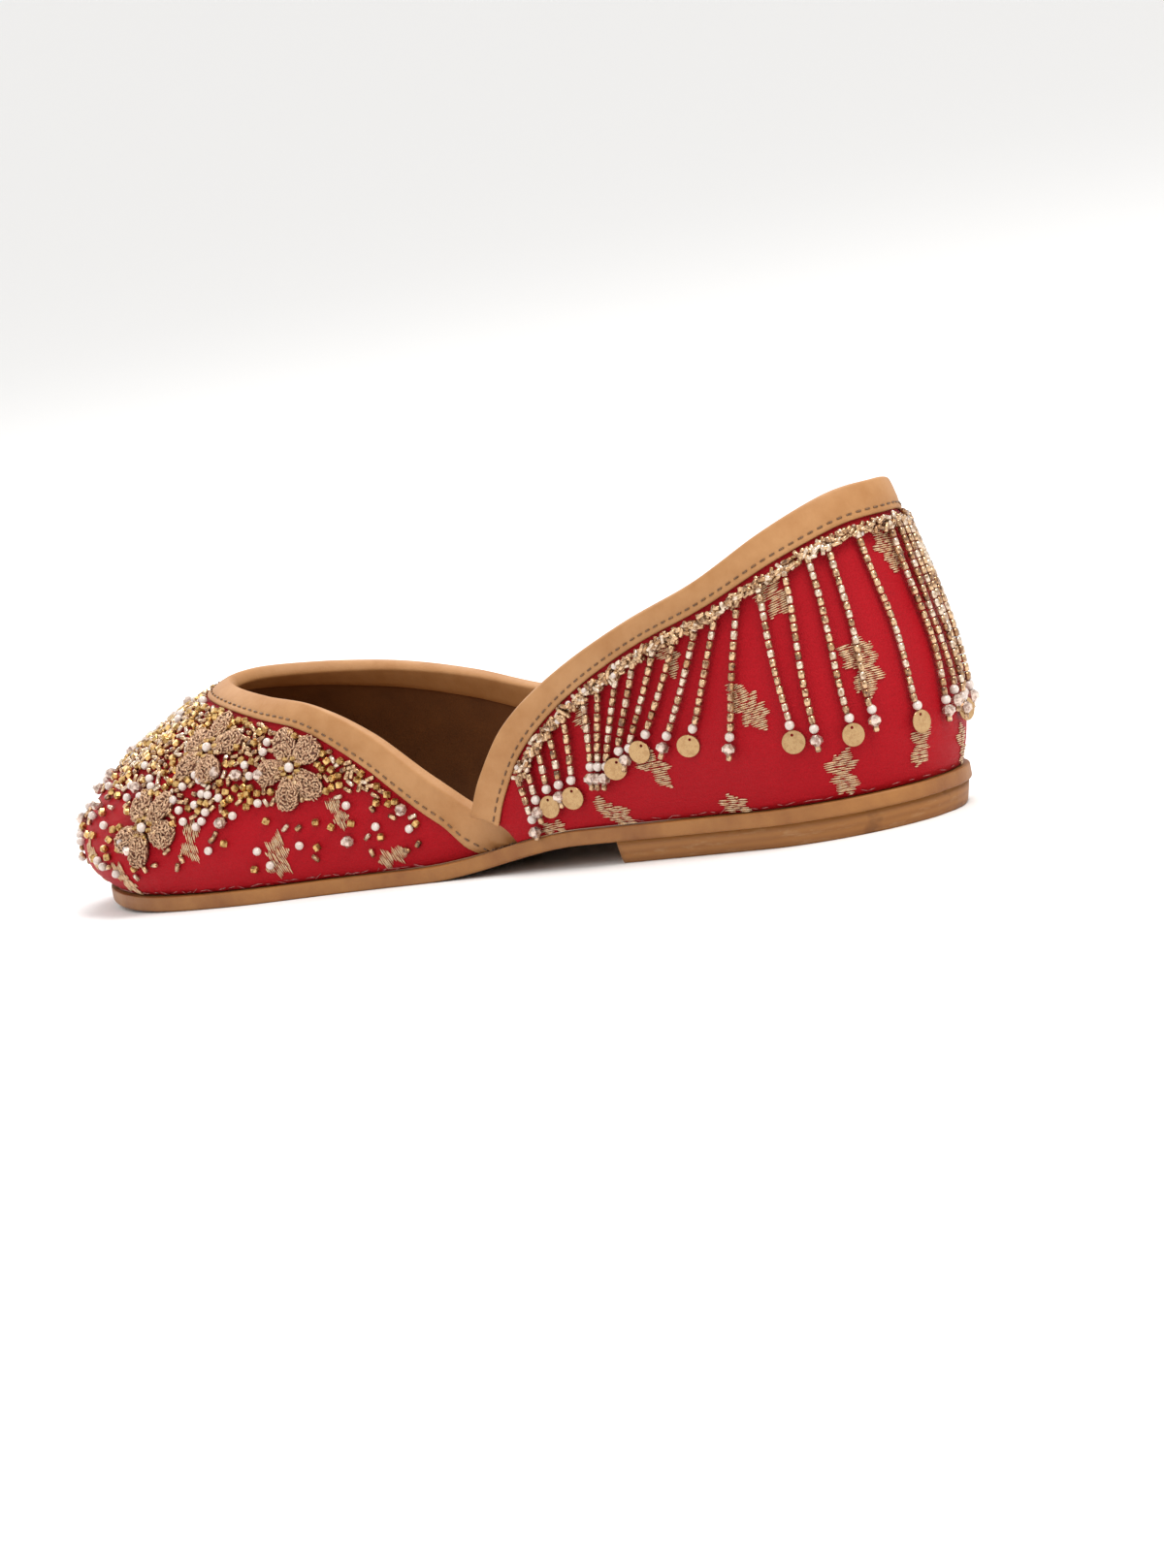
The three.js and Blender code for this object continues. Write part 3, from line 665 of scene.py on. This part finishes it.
def disc_template():
    """A flat disc with a small hole near its upper rim: z is up the disc, y its thickness."""
    angle = 2 * np.pi * np.arange(DISC_SIDES) / DISC_SIDES
    ring = np.stack([np.sin(angle), np.zeros(DISC_SIDES), np.cos(angle)], -1)
    rim = DISC_RIM * ring
    eye = DISC_HOLE * ring + np.array([0, 0, DISC_HOLE_AT])
    lift = np.array([0, 1.0, 0])
    edge = DISC_BEVEL * lift
    loops = [eye - lift, rim - lift, ring - edge, ring + edge, rim + lift, eye + lift]
    return shape_from_rings(np.stack(loops, 1), closed=True)


DISC = disc_template()


# Pieces of leather and silk
SOLE_FLAT = 14
LIFT_BEVEL = (0.5, 0.45)
INSOLE_LOW_ROUND = 0.35


def plate(turns, profile):
    """A plate across the shoe: a half profile of (inset, height) levels, mirrored to the outer side."""
    rings = []
    for side in (turns, 360 - turns):
        points = []
        for inset, height in profile:
            edge = sole_edge(side, inset(side) if callable(inset) else inset)
            points.append(np.concatenate([edge, height(edge[:, 0])[:, None]], -1))
        rings.append(np.stack(points, 1))
    return shape_from_rings(np.concatenate([rings[0], rings[1][:, ::-1]], 1))


def make_outsole():
    angles = np.linspace(0, math.pi / 2, 5)
    bulge = [(EDGE_ROUND * (1 - math.sin(a)), EDGE_ROUND * (1 - math.cos(a))) for a in angles]
    under = [(inset, lambda x, z=z: sole_bottom(x) + z) for inset, z in bulge]
    over = [(inset / 2, lambda x, z=z: sole_top(x) - z / 2) for inset, z in reversed(bulge)]
    profile = [(SOLE_FLAT, sole_bottom)] + under + over + [(SOLE_FLAT, sole_top)]
    shape = plate(np.linspace(TIP, 180 - TIP, 220), profile)
    add_piece("outsole_leather", [(shape, "sole")], "outsole")


def make_lift():
    """The lift's own edge up to a straight breast."""
    def ring(inset, z):
        wide = np.linspace(TIP, 100, 700)
        edge = sole_edge(wide, inset)
        breast = np.interp(BREAST_X, edge[:, 0], wide)
        turns = np.linspace(TIP, breast, 90)
        level = np.full((len(turns), 1), z)
        sides = [sole_edge(side, inset) for side in (turns, 360 - turns)]
        return np.stack([np.concatenate([side, level], 1) for side in sides], 1)

    top = EDGE_ROUND
    foot = LIFT_TAPER + EDGE_ROUND
    levels = [
        (foot + LIFT_BEVEL[0], 0),
        (foot, LIFT_BEVEL[1]),
        (foot * 0.5 + top * 0.5, LIFT_HEIGHT / 2),
        (top, LIFT_HEIGHT),
    ]
    rings = [ring(inset, z) for inset, z in levels]
    rings = np.stack([r[:, 0] for r in rings] + [r[:, 1] for r in reversed(rings)], 1)
    add_piece("lift_leather", [(shape_from_rings(rings), "lift")], "heel_lift")


def insole_inset(extra):
    """The insole's inset from the sole's edge, which is more where the wing tucks under."""
    def inset(turn):
        tucked = INSOLE_TUCK * smooth_step(1.5 - np.abs(turn - TURN_START) / TUCK_SPREAD)
        return FEATHER_INSET + WALL + SEAT_GAP + extra + tucked
    return inset


def make_insole():
    levels = [
        (INSOLE_FLAT, 0),
        (INSOLE_ROUND / 3, 0),
        (0, INSOLE_LOW_ROUND),
        (0, INSOLE_EDGE - INSOLE_ROUND),
        (INSOLE_ROUND * 0.3, INSOLE_EDGE - INSOLE_ROUND * 0.3),
        (INSOLE_ROUND, INSOLE_EDGE),
        (INSOLE_FLAT * 0.5, INSOLE_EDGE + INSOLE_DOME * 0.6),
        (INSOLE_FLAT, INSOLE_EDGE + INSOLE_DOME),
    ]
    profile = [(insole_inset(extra), lambda x, z=z: sole_top(x) + SEAT_GAP + z) for extra, z in levels]
    shape = plate(np.linspace(INSOLE_TIP, 180 - INSOLE_TIP, 160), profile)
    add_piece("insole_cover", [(shape, "insole")], "insole")


# The silk's sections stand closer round the toe, where it has small tucks
TOE_TURNS = (140, 220)
TUCK_DEPTH = 0.22
WAVE_DEPTH = 0.14
RELIEF_MOST = 0.25
LAYER_GAP = 0.02


def silk_relief(turn, up):
    """Small waves of the silk: tucks at the sole round the toe, and a soft pull under the rope."""
    depth = up * lengths(section(turn))[..., -1]
    toe = np.exp(-((turn - 180) / 62) ** 2)
    tucks = TUCK_DEPTH * toe * np.exp(-depth / 3.2) * np.sin(turn * 1.9 + 2 * np.sin(turn * 0.37))
    soft = WAVE_DEPTH * np.sin(turn * 0.21 + 3 * up) * np.sin(up * 7 + turn * 0.05)
    return np.minimum(tucks + soft * np.sin(np.pi * np.clip(up, 0, 1)), RELIEF_MOST)


def make_upper():
    """The wall in two layers: silk with its relief outside, and the lining, whose leather colour is
    darkened with painted shade.
    """
    turns = np.concatenate([
        np.linspace(TURN_START, TOE_TURNS[0], 130, endpoint=False),
        np.linspace(*TOE_TURNS, 190, endpoint=False),
        np.linspace(TOE_TURNS[1], TURN_END, 300),
    ])
    ups = np.linspace(0, 1, 34)
    middle = -WALL / 2

    def layer(turns, ups, outer, inner):
        grid, rows = np.meshgrid(turns, ups, indexing="ij")
        off = outer(grid, rows) if callable(outer) else outer
        face = on_upper(grid, rows, off)
        core = on_upper(grid, rows, inner)
        return shape_from_rings(np.concatenate([face, core[:, ::-1]], 1))

    silk = layer(turns, ups, silk_relief, middle)
    lining = layer(turns[::2], ups[::2], middle - LAYER_GAP, -WALL)
    add_piece("silk_cover", [(silk, "silk")], "upper")
    add_piece("lining", [(lining, "lining")])


# The binding's seam, and loose ends of silk: start, end and pitch of each run of them
STITCH_PITCH = 2.5
STITCH_UP = 1.5
STITCH_SIZE = (0.23, 0.18, 0.7)
FOLD_LOW = 0.2
FOLD_ROUND = 0.75
FRAY_RUNS = [(95, 178, 1.6), (178, 270, 3.2), (285, 425, 3.6)]
FRAY_UP = 0.012
FRAY_THIN = 0.09


def make_binding():
    """The strip folded over the topline, as depths below it and distances off the silk's face."""
    turns = even_turns(TURN_START, TURN_END, 0.9)
    width = band(turns)
    none = 0 * width
    near = SEAT_GAP
    far = near + BINDING_THICK
    back = WALL + LINING_GAP
    under = -back - far
    inside = -back - near
    profile = [
        (width, near),
        (width, far - 0.22),
        (width - 0.25, far - 0.04),
        (width - STITCH_UP + 0.5, far - 0.02),
        (width - STITCH_UP, far - 0.14),
        (width - STITCH_UP - 0.5, far - 0.02),
        (width * 0.5, far + 0.1),
        (width * 0.18, far + 0.06),
        (none - 0.1, far - 0.1),
    ]
    middle = (far - back - far) / 2
    half = (far + back + far) / 2
    for angle in np.radians(np.linspace(20, 160, 7)):
        depth = none - FOLD_LOW - FOLD_ROUND * math.sin(angle)
        profile.append((depth, middle + (half - 0.1) * math.cos(angle)))
    profile += [
        (none - 0.1, under + 0.1),
        (width * 0.3, under),
        (width * 0.7, under),
        (width - 0.25, under + 0.05),
        (width, under + 0.25),
        (width, inside),
        (width * 0.5, inside),
        (none + 0.3, inside),
        (none - 0.1, -back * 0.5),
        (none + 0.3, near - 0.05),
    ]
    rings = np.stack([on_upper(turns, below(turns, depth), off) for depth, off in profile], 1)
    fold = shape_from_rings(rings)

    at = even_turns(TURN_START + 1.2, TURN_END - 0.4, STITCH_PITCH, BINDING_WIDTH - STITCH_UP)
    seam_up = below(at, band(at) - STITCH_UP)
    line = on_upper(at, seam_up, far + 0.02)
    after = at + 0.2
    after_up = below(np.minimum(after, TURN_END), band(after) - STITCH_UP)
    ahead = on_upper(after, after_up, far)
    normal = surface(at, seam_up)[2]
    stitches = copies(TUBE_BEAD, line, ahead - line, normal, STITCH_SIZE)
    add_piece("topline_leather", [(fold, "binding")], "topline_binding")
    add_piece("topline_stitches", [(stitches, "stitch")])


def make_fray():
    """Loose ends of the silk along the seam with the sole, more of them at the vamp's inner side."""
    shapes = []
    for start, end, pitch in FRAY_RUNS:
        turns = even_turns(start, end, pitch)
        count = len(turns)
        turns = turns + DICE.uniform(-1, 1, count)
        _, rise, normal, across = surface(turns, FRAY_UP)
        spot = on_upper(turns, FRAY_UP, DICE.uniform(0.12, 0.3, count))
        along = across + rise * DICE.normal(0, 0.3, (count, 1))
        along = along + normal * DICE.normal(0, 0.06, (count, 1))
        spot = spot + rise * DICE.uniform(0.05, 0.45, (count, 1))
        size = rods(FRAY_THIN, DICE.uniform(0.6, 1.5, count))
        shapes.append((copies(STRAND, spot, along, normal, size), "fray"))
    add_piece("seam_fray", shapes)


# The bead fringe. Layers of the rope: how high they lie and the pitch of their beads
ROPE_LAYERS = [(0.75, 0.5), (1.45, 0.95)]
FRINGE_KINDS = ("glass", "pale", "amber", "pearl")
ROPE_BEAD = 0.56
ROPE_PEARL = 0.75
BEAD_PITCH = 1.95
# The end of a string: half sizes, and how far past its last bead each thing's middle lies
PEARL_RADIUS = 1.15
PEARL_AT = 1.0
PEARL_END = 2.0
CRYSTAL_AT = 3.5
LAST_AT = 5.3
DISC_HALF = (DISC_ACROSS / 2, 0.18, DISC_ACROSS / 2)
CRYSTAL_HALF = [CRYSTAL_ACROSS / 2 * share for share in (0.95, 0.95, 0.8)]
LAST_HALF = (0.75, 0.75, 0.8)


def string_point(turn, to_toe, lean, reach, aside, off):
    """Points down a string at distances from the rope, with the silk's directions out there."""
    along = reach * math.sin(lean) + aside * math.cos(lean)
    down = reach * math.cos(lean) - aside * math.sin(lean)
    at = turn + to_toe * along * turn_rate(turn)
    up = below(at, rope_depth(turn) + down)
    return on_upper(at, up, off), surface(at, up)[2]


def bead_shapes(kind, centres, along, normal, sizes):
    """Beads sorted by their kind, a number in FRINGE_KINDS: tubes of glass, or pearls."""
    shapes = []
    for k, name in enumerate(FRINGE_KINDS):
        pick = kind == k
        template, size = (PEARL, ROPE_PEARL) if name == "pearl" else (TUBE_BEAD, sizes[pick])
        shapes.append((copies(template, centres[pick], along[pick], normal[pick], size), name))
    return shapes


def rope_shapes():
    """Short tubes of glass laid in all directions, two deep."""
    shapes = []
    for lift, pitch in ROPE_LAYERS:
        turns = even_turns(720 - FRINGE_END, FRINGE_END, pitch, BINDING_WIDTH)
        count = len(turns)
        turns = turns + DICE.normal(0, 0.12, count)
        turns = np.clip(turns, 720 - FRINGE_END, FRINGE_END)
        aside = DICE.uniform(-0.5, 0.5, count) * (ROPE_WIDTH - 1.6)
        ups = below(turns, rope_depth(turns) + aside)
        _, rise, normal, across = surface(turns, ups)
        centres = on_upper(turns, ups, SEAT_GAP + lift + DICE.uniform(-0.15, 0.25, count))
        along = strewn(across, rise, normal, 0.75, 0.12)
        sizes = rods(ROPE_BEAD, DICE.uniform(0.9, 1.35, count))
        kind = DICE.choice(4, count, p=[0.5, 0.22, 0.25, 0.03])
        shapes += bead_shapes(kind, centres, along, normal, sizes)
    return shapes


def string_shapes():
    """The strings, each of beads down to a pearl and a disc or a crystal."""
    shapes = []
    middle = SEAT_GAP + ROPE_LIFT + STRING_WIDTH / 2
    sides = [(turn, 1, lean, reach, disc) for turn, lean, reach, disc in zip(*STRINGS.values())]
    sides += [(720 - turn, -1, lean, reach, disc) for turn, _, lean, reach, disc in sides[1:]]
    sides += [(turn, -1, 0, reach, 0) for turn, reach in HEEL_STRINGS]
    for order, (turn, to_toe, lean, reach, has_disc) in enumerate(sides):
        lean = math.radians(lean)
        length = STRING_LENGTH * reach
        count = max(int(length / BEAD_PITCH), 3)
        at = (np.arange(count) + 0.5) * length / count
        sway = 0.35 * np.sin(at * 0.16 + order)
        centres, normal = string_point(turn, to_toe, lean, at, sway, middle)
        ahead = string_point(turn, to_toe, lean, at + 0.5, sway, middle)[0]
        along = unit(ahead - centres) + DICE.normal(0, 0.035, (count, 3))
        half = 0.5 * length / count * DICE.uniform(0.9, 1.0, count)
        sizes = rods(DICE.uniform(0.78, 0.88, count), half)
        kind = DICE.choice(3, count, p=[0.5, 0.33, 0.17])
        shapes += bead_shapes(kind, centres, along, normal, sizes)

        def past_end(distance, lift=0.0):
            reach = np.array([length + distance])
            return string_point(turn, to_toe, lean, reach, 0.0, middle + lift)

        pearl, out = past_end(PEARL_AT)
        down = past_end(PEARL_END)[0] - pearl
        shapes.append((copies(PEARL, pearl, down, out, PEARL_RADIUS), "pearl"))
        if has_disc:
            disc, out = past_end(PEARL_END + DISC_ACROSS / 2, 0.25)
            spin = DICE.uniform(-0.55, 0.55)
            side = np.cross(unit(down), out)
            facing = out * math.cos(spin) + side * math.sin(spin)
            shapes.append((copies(DISC, disc, -down, facing, DISC_HALF), "disc"))
        else:
            gem, out = past_end(CRYSTAL_AT, 0.35)
            shapes.append((copies(CRYSTAL, gem, down, out, CRYSTAL_HALF), "crystal"))
            last, out = past_end(LAST_AT, 0.1)
            shapes.append((copies(CUT_BEAD, last, down, out, LAST_HALF), "glass"))
    return shapes


def make_fringe():
    add_piece("beaded_fringe", rope_shapes() + string_shapes(), "bead_fringe")


def patch(turn, up):
    """Local millimetres round a point of the upper: a toward the growing turn, b up it."""
    turns = turn + np.array([0.5, -0.5, 0, 0])
    ups = up + np.array([0, 0, 0.01, -0.01])
    points = surface(turns, ups)[0]
    per_turn = np.linalg.norm(points[0] - points[1])
    per_up = np.linalg.norm(points[2] - points[3]) / 0.02

    def place(a, b, off):
        at = turn + np.asarray(a) / per_turn
        high = np.clip(up + np.asarray(b) / per_up, 0.005, 1.2)
        return on_upper(at, high, off), surface(at, high)[2]
    return place


# Petals: rings and sides of one, half its length and width as shares of the flower, its height, and
# its loops of thread, as a share of the petal, their count and how much their lean varies
PETAL_GRID = (7, 28)
PETAL_LONG = 0.215
PETAL_WIDE = 0.148
PETAL_FOOT = 0.35
PETAL_CROWN = 1.25
PETAL_GROOVE = 0.55
PETAL_LOOPS = [(0.97, 30, 0.5), (0.8, 24, 0.9), (0.6, 19, 0.9), (0.4, 12, 0.9), (0.18, 6, 1.2)]
LOOP_THREAD = 0.27
LOOP_LIFT = 0.22
HEART_PEARL = 1.2
# Rings of beads round the pearl: distance, count and look
HEART_RINGS = [(2.3, 7, "gold"), (3.9, 9, "glass")]
HEART_BEAD = (0.7, 0.7, 0.85)


def make_flower(name, turn, up, across, spin):
    """Five cushions covered in loops of metal thread, round a pearl and a ring of beads. The cushions
    are dark brown: painted shade between the loops.
    """
    place = patch(turn, up)
    rings, sides = PETAL_GRID
    share = np.linspace(1, 0.04, rings)[:, None]
    angle = (2 * np.pi * np.arange(sides) / sides)[None]
    floor, cap = end_faces(rings + 1, sides)
    faces = [ring_faces(rings + 1, sides), cap, floor]
    shapes = []
    for k in range(5):
        way = math.radians(spin + 72 * k + DICE.uniform(-9, 9))
        long = PETAL_LONG * across * DICE.uniform(0.92, 1.06)
        wide = PETAL_WIDE * across * DICE.uniform(0.9, 1.12)
        centre = across / 2 - long
        base = 0.75 + 0.3 * (k % 2)

        def petal(share, angle):
            far = centre + share * np.cos(angle) * long
            aside = share * np.sin(angle) * wide * (1 + 0.2 * np.cos(angle))
            groove = PETAL_GROOVE * np.exp(-(np.sin(angle) * share / 0.16) ** 2) * (share < 0.8)
            lift = base + PETAL_CROWN * np.sqrt(np.maximum(1 - share**2, 0)) - groove
            a = far * math.cos(way) - aside * math.sin(way)
            b = far * math.sin(way) + aside * math.cos(way)
            return a, b, lift

        a, b, lift = petal(share, angle)
        top = place(a, b, lift)[0]
        foot = place(a[:1], b[:1], PETAL_FOOT)[0]
        points = np.concatenate([foot, top], 0).reshape(-1, 3)
        # The cushion's dark colour is painted shade that shows between the loops.
        shapes.append((facing_out(points, faces), "zari_painted_shade"))
        # Loops of thread: round the rim, then in closer rings, each turned a little its own way
        for ring, loops, lean in PETAL_LOOPS:
            around = 2 * np.pi * (np.arange(loops) + DICE.uniform(-0.3, 0.3, loops)) / loops
            shares = ring + DICE.uniform(-0.06, 0.03, loops)
            a, b, lift = petal(shares, around)
            spot, out = place(a, b, lift + LOOP_LIFT)
            a, b, lift = petal(shares, around + 0.2)
            ahead = unit(place(a, b, lift + LOOP_LIFT)[0] - spot)
            along = strewn(ahead, np.cross(out, ahead), out, lean, 0.25)
            size = rods(LOOP_THREAD, DICE.uniform(0.55, 0.85, loops))
            shapes.append((copies(STRAND, spot, along, out, size), "zari"))
    heart, out = place(np.zeros(1), np.zeros(1), 1.9)
    shapes.append((copies(PEARL, heart, (0, 0, 1), out, HEART_PEARL), "pearl"))
    for distance, count, look in HEART_RINGS:
        ring = 2 * np.pi * (np.arange(count) + DICE.uniform(-0.25, 0.25, count)) / count
        spot, out = place(distance * np.cos(ring), distance * np.sin(ring), 1.5)
        shapes.append((copies(CUT_BEAD, spot, np.cross(out, (0, 0, 1)), out, HEART_BEAD), look))
    add_piece(name + "_thread", shapes, name)


# Sprigs: leaves round a stem, the threads that fill them, and the slant of the cloth's threads
SPRIG_LEAVES = 8
THREAD_PITCH = 0.5
THREAD_STEP = 0.15
THREAD_LONG = 2.2
THREAD_THICK = 0.2
QUARTER_SLANT = 0.05
VAMP_SLANT = 1.2


def sprig_runs(across, spin, slim, slant):
    """Stitches that fill a sprig: pairs of ends in local millimetres, in rows at a slant."""
    axis = spin - slant
    leaves = []
    for k in range(SPRIG_LEAVES):
        way = axis + 2 * math.pi * (k + DICE.uniform(-0.3, 0.3)) / SPRIG_LEAVES
        root = across * DICE.uniform(0, 0.13) * math.copysign(1, math.cos(way - axis))
        aside = 0.28 - 0.12 * slim
        reach = aside + (0.4 - aside) * math.cos(way - axis) ** 2
        long = across * reach * DICE.uniform(0.85, 1.15)
        leaves.append((root * math.cos(axis), root * math.sin(axis), way, long))
    steps = np.arange(-0.6 * across, 0.6 * across, THREAD_STEP)
    runs = []
    for level in np.arange(-0.6 * across, 0.6 * across, THREAD_PITCH):
        inside = np.zeros(len(steps), bool)
        for x, y, way, long in leaves:
            u = (steps - x) * math.cos(way) + (level - y) * math.sin(way)
            v = (level - y) * math.cos(way) - (steps - x) * math.sin(way)
            width = 0.3 * long * np.sin(np.pi * np.clip(0.22 + 0.78 * u / long, 0, 1)) ** 0.9
            inside |= (u > -0.1 * long) & (u < long) & (np.abs(v) < width)
        edges = np.flatnonzero(np.diff(np.concatenate([[0], inside.astype(int), [0]])))
        for start, end in zip(edges[::2], edges[1::2]):
            first = steps[start] - DICE.uniform(0, 0.5)
            last = steps[min(end, len(steps) - 1)] + DICE.uniform(0, 0.5)
            parts = max(int((last - first) / THREAD_LONG), 1)
            cuts = np.linspace(first, last, parts + 1)
            for p, q in zip(cuts[:-1], cuts[1:]):
                shift = DICE.uniform(-0.12, 0.12, 2)
                runs.append([[p, level + shift[0]], [q + 0.15, level + shift[1]]])
    slanted = np.array([[math.cos(slant), math.sin(slant)], [-math.sin(slant), math.cos(slant)]])
    return np.array(runs) @ slanted


def make_sprigs():
    """Woven sprigs: leaves round a short stem, filled with threads that run across the cloth."""
    shapes = []
    for turn, up, across, spin, slim in SPRIGS:
        place = patch(turn, up)
        slant = QUARTER_SLANT if turn > 270 else VAMP_SLANT
        runs = sprig_runs(across, math.radians(spin), slim, slant)
        lift = 0.2 + DICE.uniform(-0.04, 0.14, len(runs))
        p, out = place(runs[:, 0, 0], runs[:, 0, 1], lift)
        q = place(runs[:, 1, 0], runs[:, 1, 1], lift)[0]
        size = rods(THREAD_THICK, np.linalg.norm(p - q, axis=1) / 2)
        shapes.append((copies(STRAND, (p + q) / 2, p - q, out, size), "sprig"))
    add_piece("woven_sprigs", shapes)


# Loose beads of the vamp: look, template, half sizes, height, room, and share of the small ones
VAMP_BEADS = [
    ("glass", TUBE_BEAD, (0.6, 0.6, 1.15), 0.6, 0.72, 0.3),
    ("gold", CUT_BEAD, (0.95, 0.95, 0.85), 0.75, 0.85, 0.4),
    ("pearl", PEARL, (1.05, 1.05, 1.05), 1.0, 0.95, 0),
    ("crystal", CRYSTAL, (1.6, 1.6, 1.35), 1.35, 1.4, 0),
    ("pale", TUBE_BEAD, (0.58, 0.58, 1.1), 0.6, 0.72, 0.17),
    ("amber", CUT_BEAD, (0.7, 0.7, 0.9), 0.6, 0.7, 0.13),
]
PEARL_KIND = 2
CRYSTAL_KIND = 3
SCATTER_TRIES = 60000
SCATTER_TURNS = (94, 263)
VAMP_TURNS = (90, 267)
# Depth of the dense band of beads at the vamp's ends, and how much deeper it is at the toe
DENSE_LEAST = 2
DENSE_MORE = 21


def scatter_places():
    """Places for beads on the vamp, clear of the binding and the flowers' petals."""
    turns = DICE.uniform(*SCATTER_TURNS, SCATTER_TRIES)
    ups = DICE.uniform(0.12, 0.97, SCATTER_TRIES)
    length = lengths(section(turns))[:, -1]
    clear = (below(turns, band(turns) + 1.2) - ups) * length
    side = np.minimum(turns - VAMP_TURNS[0], VAMP_TURNS[1] - turns)
    reach = DENSE_LEAST + DENSE_MORE * smooth_step((side - 2) / 36)
    dense = np.exp(-(np.maximum(clear - reach * 0.4, 0) / (reach * 0.5)) ** 2)
    chance = np.where(clear < 0, 0, np.maximum(dense**1.5, 0.012))
    keep = DICE.uniform(0, 1, SCATTER_TRIES) < chance * (0.3 + 0.7 * length / length.max())
    turns, ups = turns[keep], ups[keep]
    points = surface(turns, ups)[0]
    free = np.ones(len(points), bool)
    for _, turn, up, across, _ in FLOWERS:
        heart = surface([turn], [up])[0]
        free &= np.linalg.norm(points - heart, axis=1) > across * 0.34
    return turns[free], ups[free], points[free]


def make_scatter():
    """Pearls, crystals and beads on the vamp: dense by the binding, scattered to the toe."""
    turns, ups, points = scatter_places()
    depth = (below(turns, band(turns)) - ups) * lengths(section(turns))[:, -1]
    away = smooth_step(depth / 26)
    roll = DICE.uniform(0, 1, len(points))
    big = 0.05 + 0.22 * away
    room, share = (np.array([row[k] for row in VAMP_BEADS]) for k in (-2, -1))
    kind = DICE.choice(len(share), len(points), p=share)
    kind = np.where(roll < big, PEARL_KIND, kind)
    kind = np.where(roll < 0.36 * big, CRYSTAL_KIND, kind)
    room = room[kind]
    taken = []
    for i in range(len(points)):
        near = points[taken] - points[i] if taken else np.empty((0, 3))
        if (np.linalg.norm(near, axis=1) > room[taken] + room[i]).all():
            taken.append(i)
    turns, ups, kind, away = turns[taken], ups[taken], kind[taken], away[taken]
    _, rise, normal, across = surface(turns, ups)
    along = strewn(across, rise, normal, 0.5 + 2 * away, 0.25)
    shapes = []
    for k, (name, template, size, lift, _, _) in enumerate(VAMP_BEADS):
        pick = kind == k
        centres = on_upper(turns[pick], ups[pick], lift + 0.05)
        shapes.append((copies(template, centres, along[pick], normal[pick], size), name))
    add_piece("vamp_beads", shapes)


# Camera, floor and lights
FLOOR_HALF = 40
FLOOR_COLOUR = (0.86, 0.86, 0.86, 1)
WORLD_COLOUR = (1, 0.99, 0.975, 1)
# Lights: name, turn from the camera's, rise, distance and size in metres, watts and tint
LIGHTS = [
    ("key", 38, 58, 1.3, 0.5, 10, (1, 0.98, 0.95)),
    ("top", 170, 62, 1.3, 0.6, 7, (1, 1, 1)),
    ("front", -40, 35, 1.5, 0.5, 1.5, (1, 1, 1)),
    ("back", 215, 35, 1.5, 0.9, 4, (1, 1, 1)),
]


def direction(turn, rise):
    """From the shoe, turned from its inner side to the heel and raised, in degrees."""
    a, e = math.radians(turn), math.radians(rise)
    return Vector((-math.sin(a) * math.cos(e), math.cos(a) * math.cos(e), math.sin(e)))


def make_camera():
    back = direction(CAMERA_TURN, CAMERA_RISE)
    level = (-back).cross(Vector((0, 0, 1))).normalized()
    upright = level.cross(-back)
    roll = math.radians(CAMERA_ROLL)
    right = math.cos(roll) * level - math.sin(roll) * upright
    up = math.sin(roll) * level + math.cos(roll) * upright
    data = bpy.data.cameras.new("camera")
    data.sensor_width = SENSOR
    data.lens = PIXELS_A_MM * CAMERA_AWAY * SENSOR / IMAGE_HEIGHT
    data.clip_end = 100
    spot = CAMERA_AWAY * back - CAMERA_ASIDE[0] * right - CAMERA_ASIDE[1] * up - Vector(MIDDLE)
    matrix = Matrix((right, up, back)).transposed().to_4x4()
    matrix.translation = spot * MM
    camera = add_object("camera", data)
    camera.matrix_world = matrix
    SCENE.camera = camera


def make_floor():
    mesh = bpy.data.meshes.new("floor")
    corners = [(x * FLOOR_HALF, y * FLOOR_HALF, 0) for x, y in ((-1, -1), (1, -1), (1, 1), (-1, 1))]
    mesh.from_pydata(corners, [], [(0, 1, 2, 3)])
    look = Look("floor", Roughness=0.85, Specular_IOR_Level=0.15)
    look.shader.inputs["Base Color"].default_value = FLOOR_COLOUR
    mesh.materials.append(look.material)
    add_object("floor", mesh)


def make_light(name, turn, rise, away, size, power, tint):
    back = direction(CAMERA_TURN + turn, rise)
    data = bpy.data.lights.new(name, "AREA")
    data.size = size
    data.energy = power
    data.color = tint
    light = add_object(name, data)
    light.location = back * away
    light.rotation_euler = back.to_track_quat("Z", "Y").to_euler()


def make_lights():
    world = bpy.data.worlds.new("studio")
    world.use_nodes = True
    background = world.node_tree.nodes["Background"]
    background.inputs["Color"].default_value = WORLD_COLOUR
    background.inputs["Strength"].default_value = 1.0
    SCENE.world = world
    SCENE.view_settings.view_transform = "Standard"
    for light in LIGHTS:
        make_light(*light)


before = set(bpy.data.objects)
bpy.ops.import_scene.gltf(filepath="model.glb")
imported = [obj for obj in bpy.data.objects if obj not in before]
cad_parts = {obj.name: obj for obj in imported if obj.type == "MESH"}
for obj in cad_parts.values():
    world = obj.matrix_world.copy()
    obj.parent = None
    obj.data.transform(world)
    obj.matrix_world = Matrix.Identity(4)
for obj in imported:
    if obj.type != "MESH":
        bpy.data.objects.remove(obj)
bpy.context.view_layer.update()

# The part's origin lies under the middle of the whole shoe: its outsole says where the axes moved
rim = outline(np.linspace(TIP, 180 - TIP, 39))
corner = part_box("outsole")[1]
MIDDLE = np.array([rim[:, 0].max() - corner.x / MM, rim[:, 1].max() - corner.y / MM, 0.0])

LOOKS = make_looks()
make_camera()
make_floor()
make_lights()
make_outsole()
make_lift()
make_insole()
make_upper()
make_binding()
make_fringe()
for flower in FLOWERS:
    make_flower(*flower)
make_sprigs()
make_scatter()
make_fray()
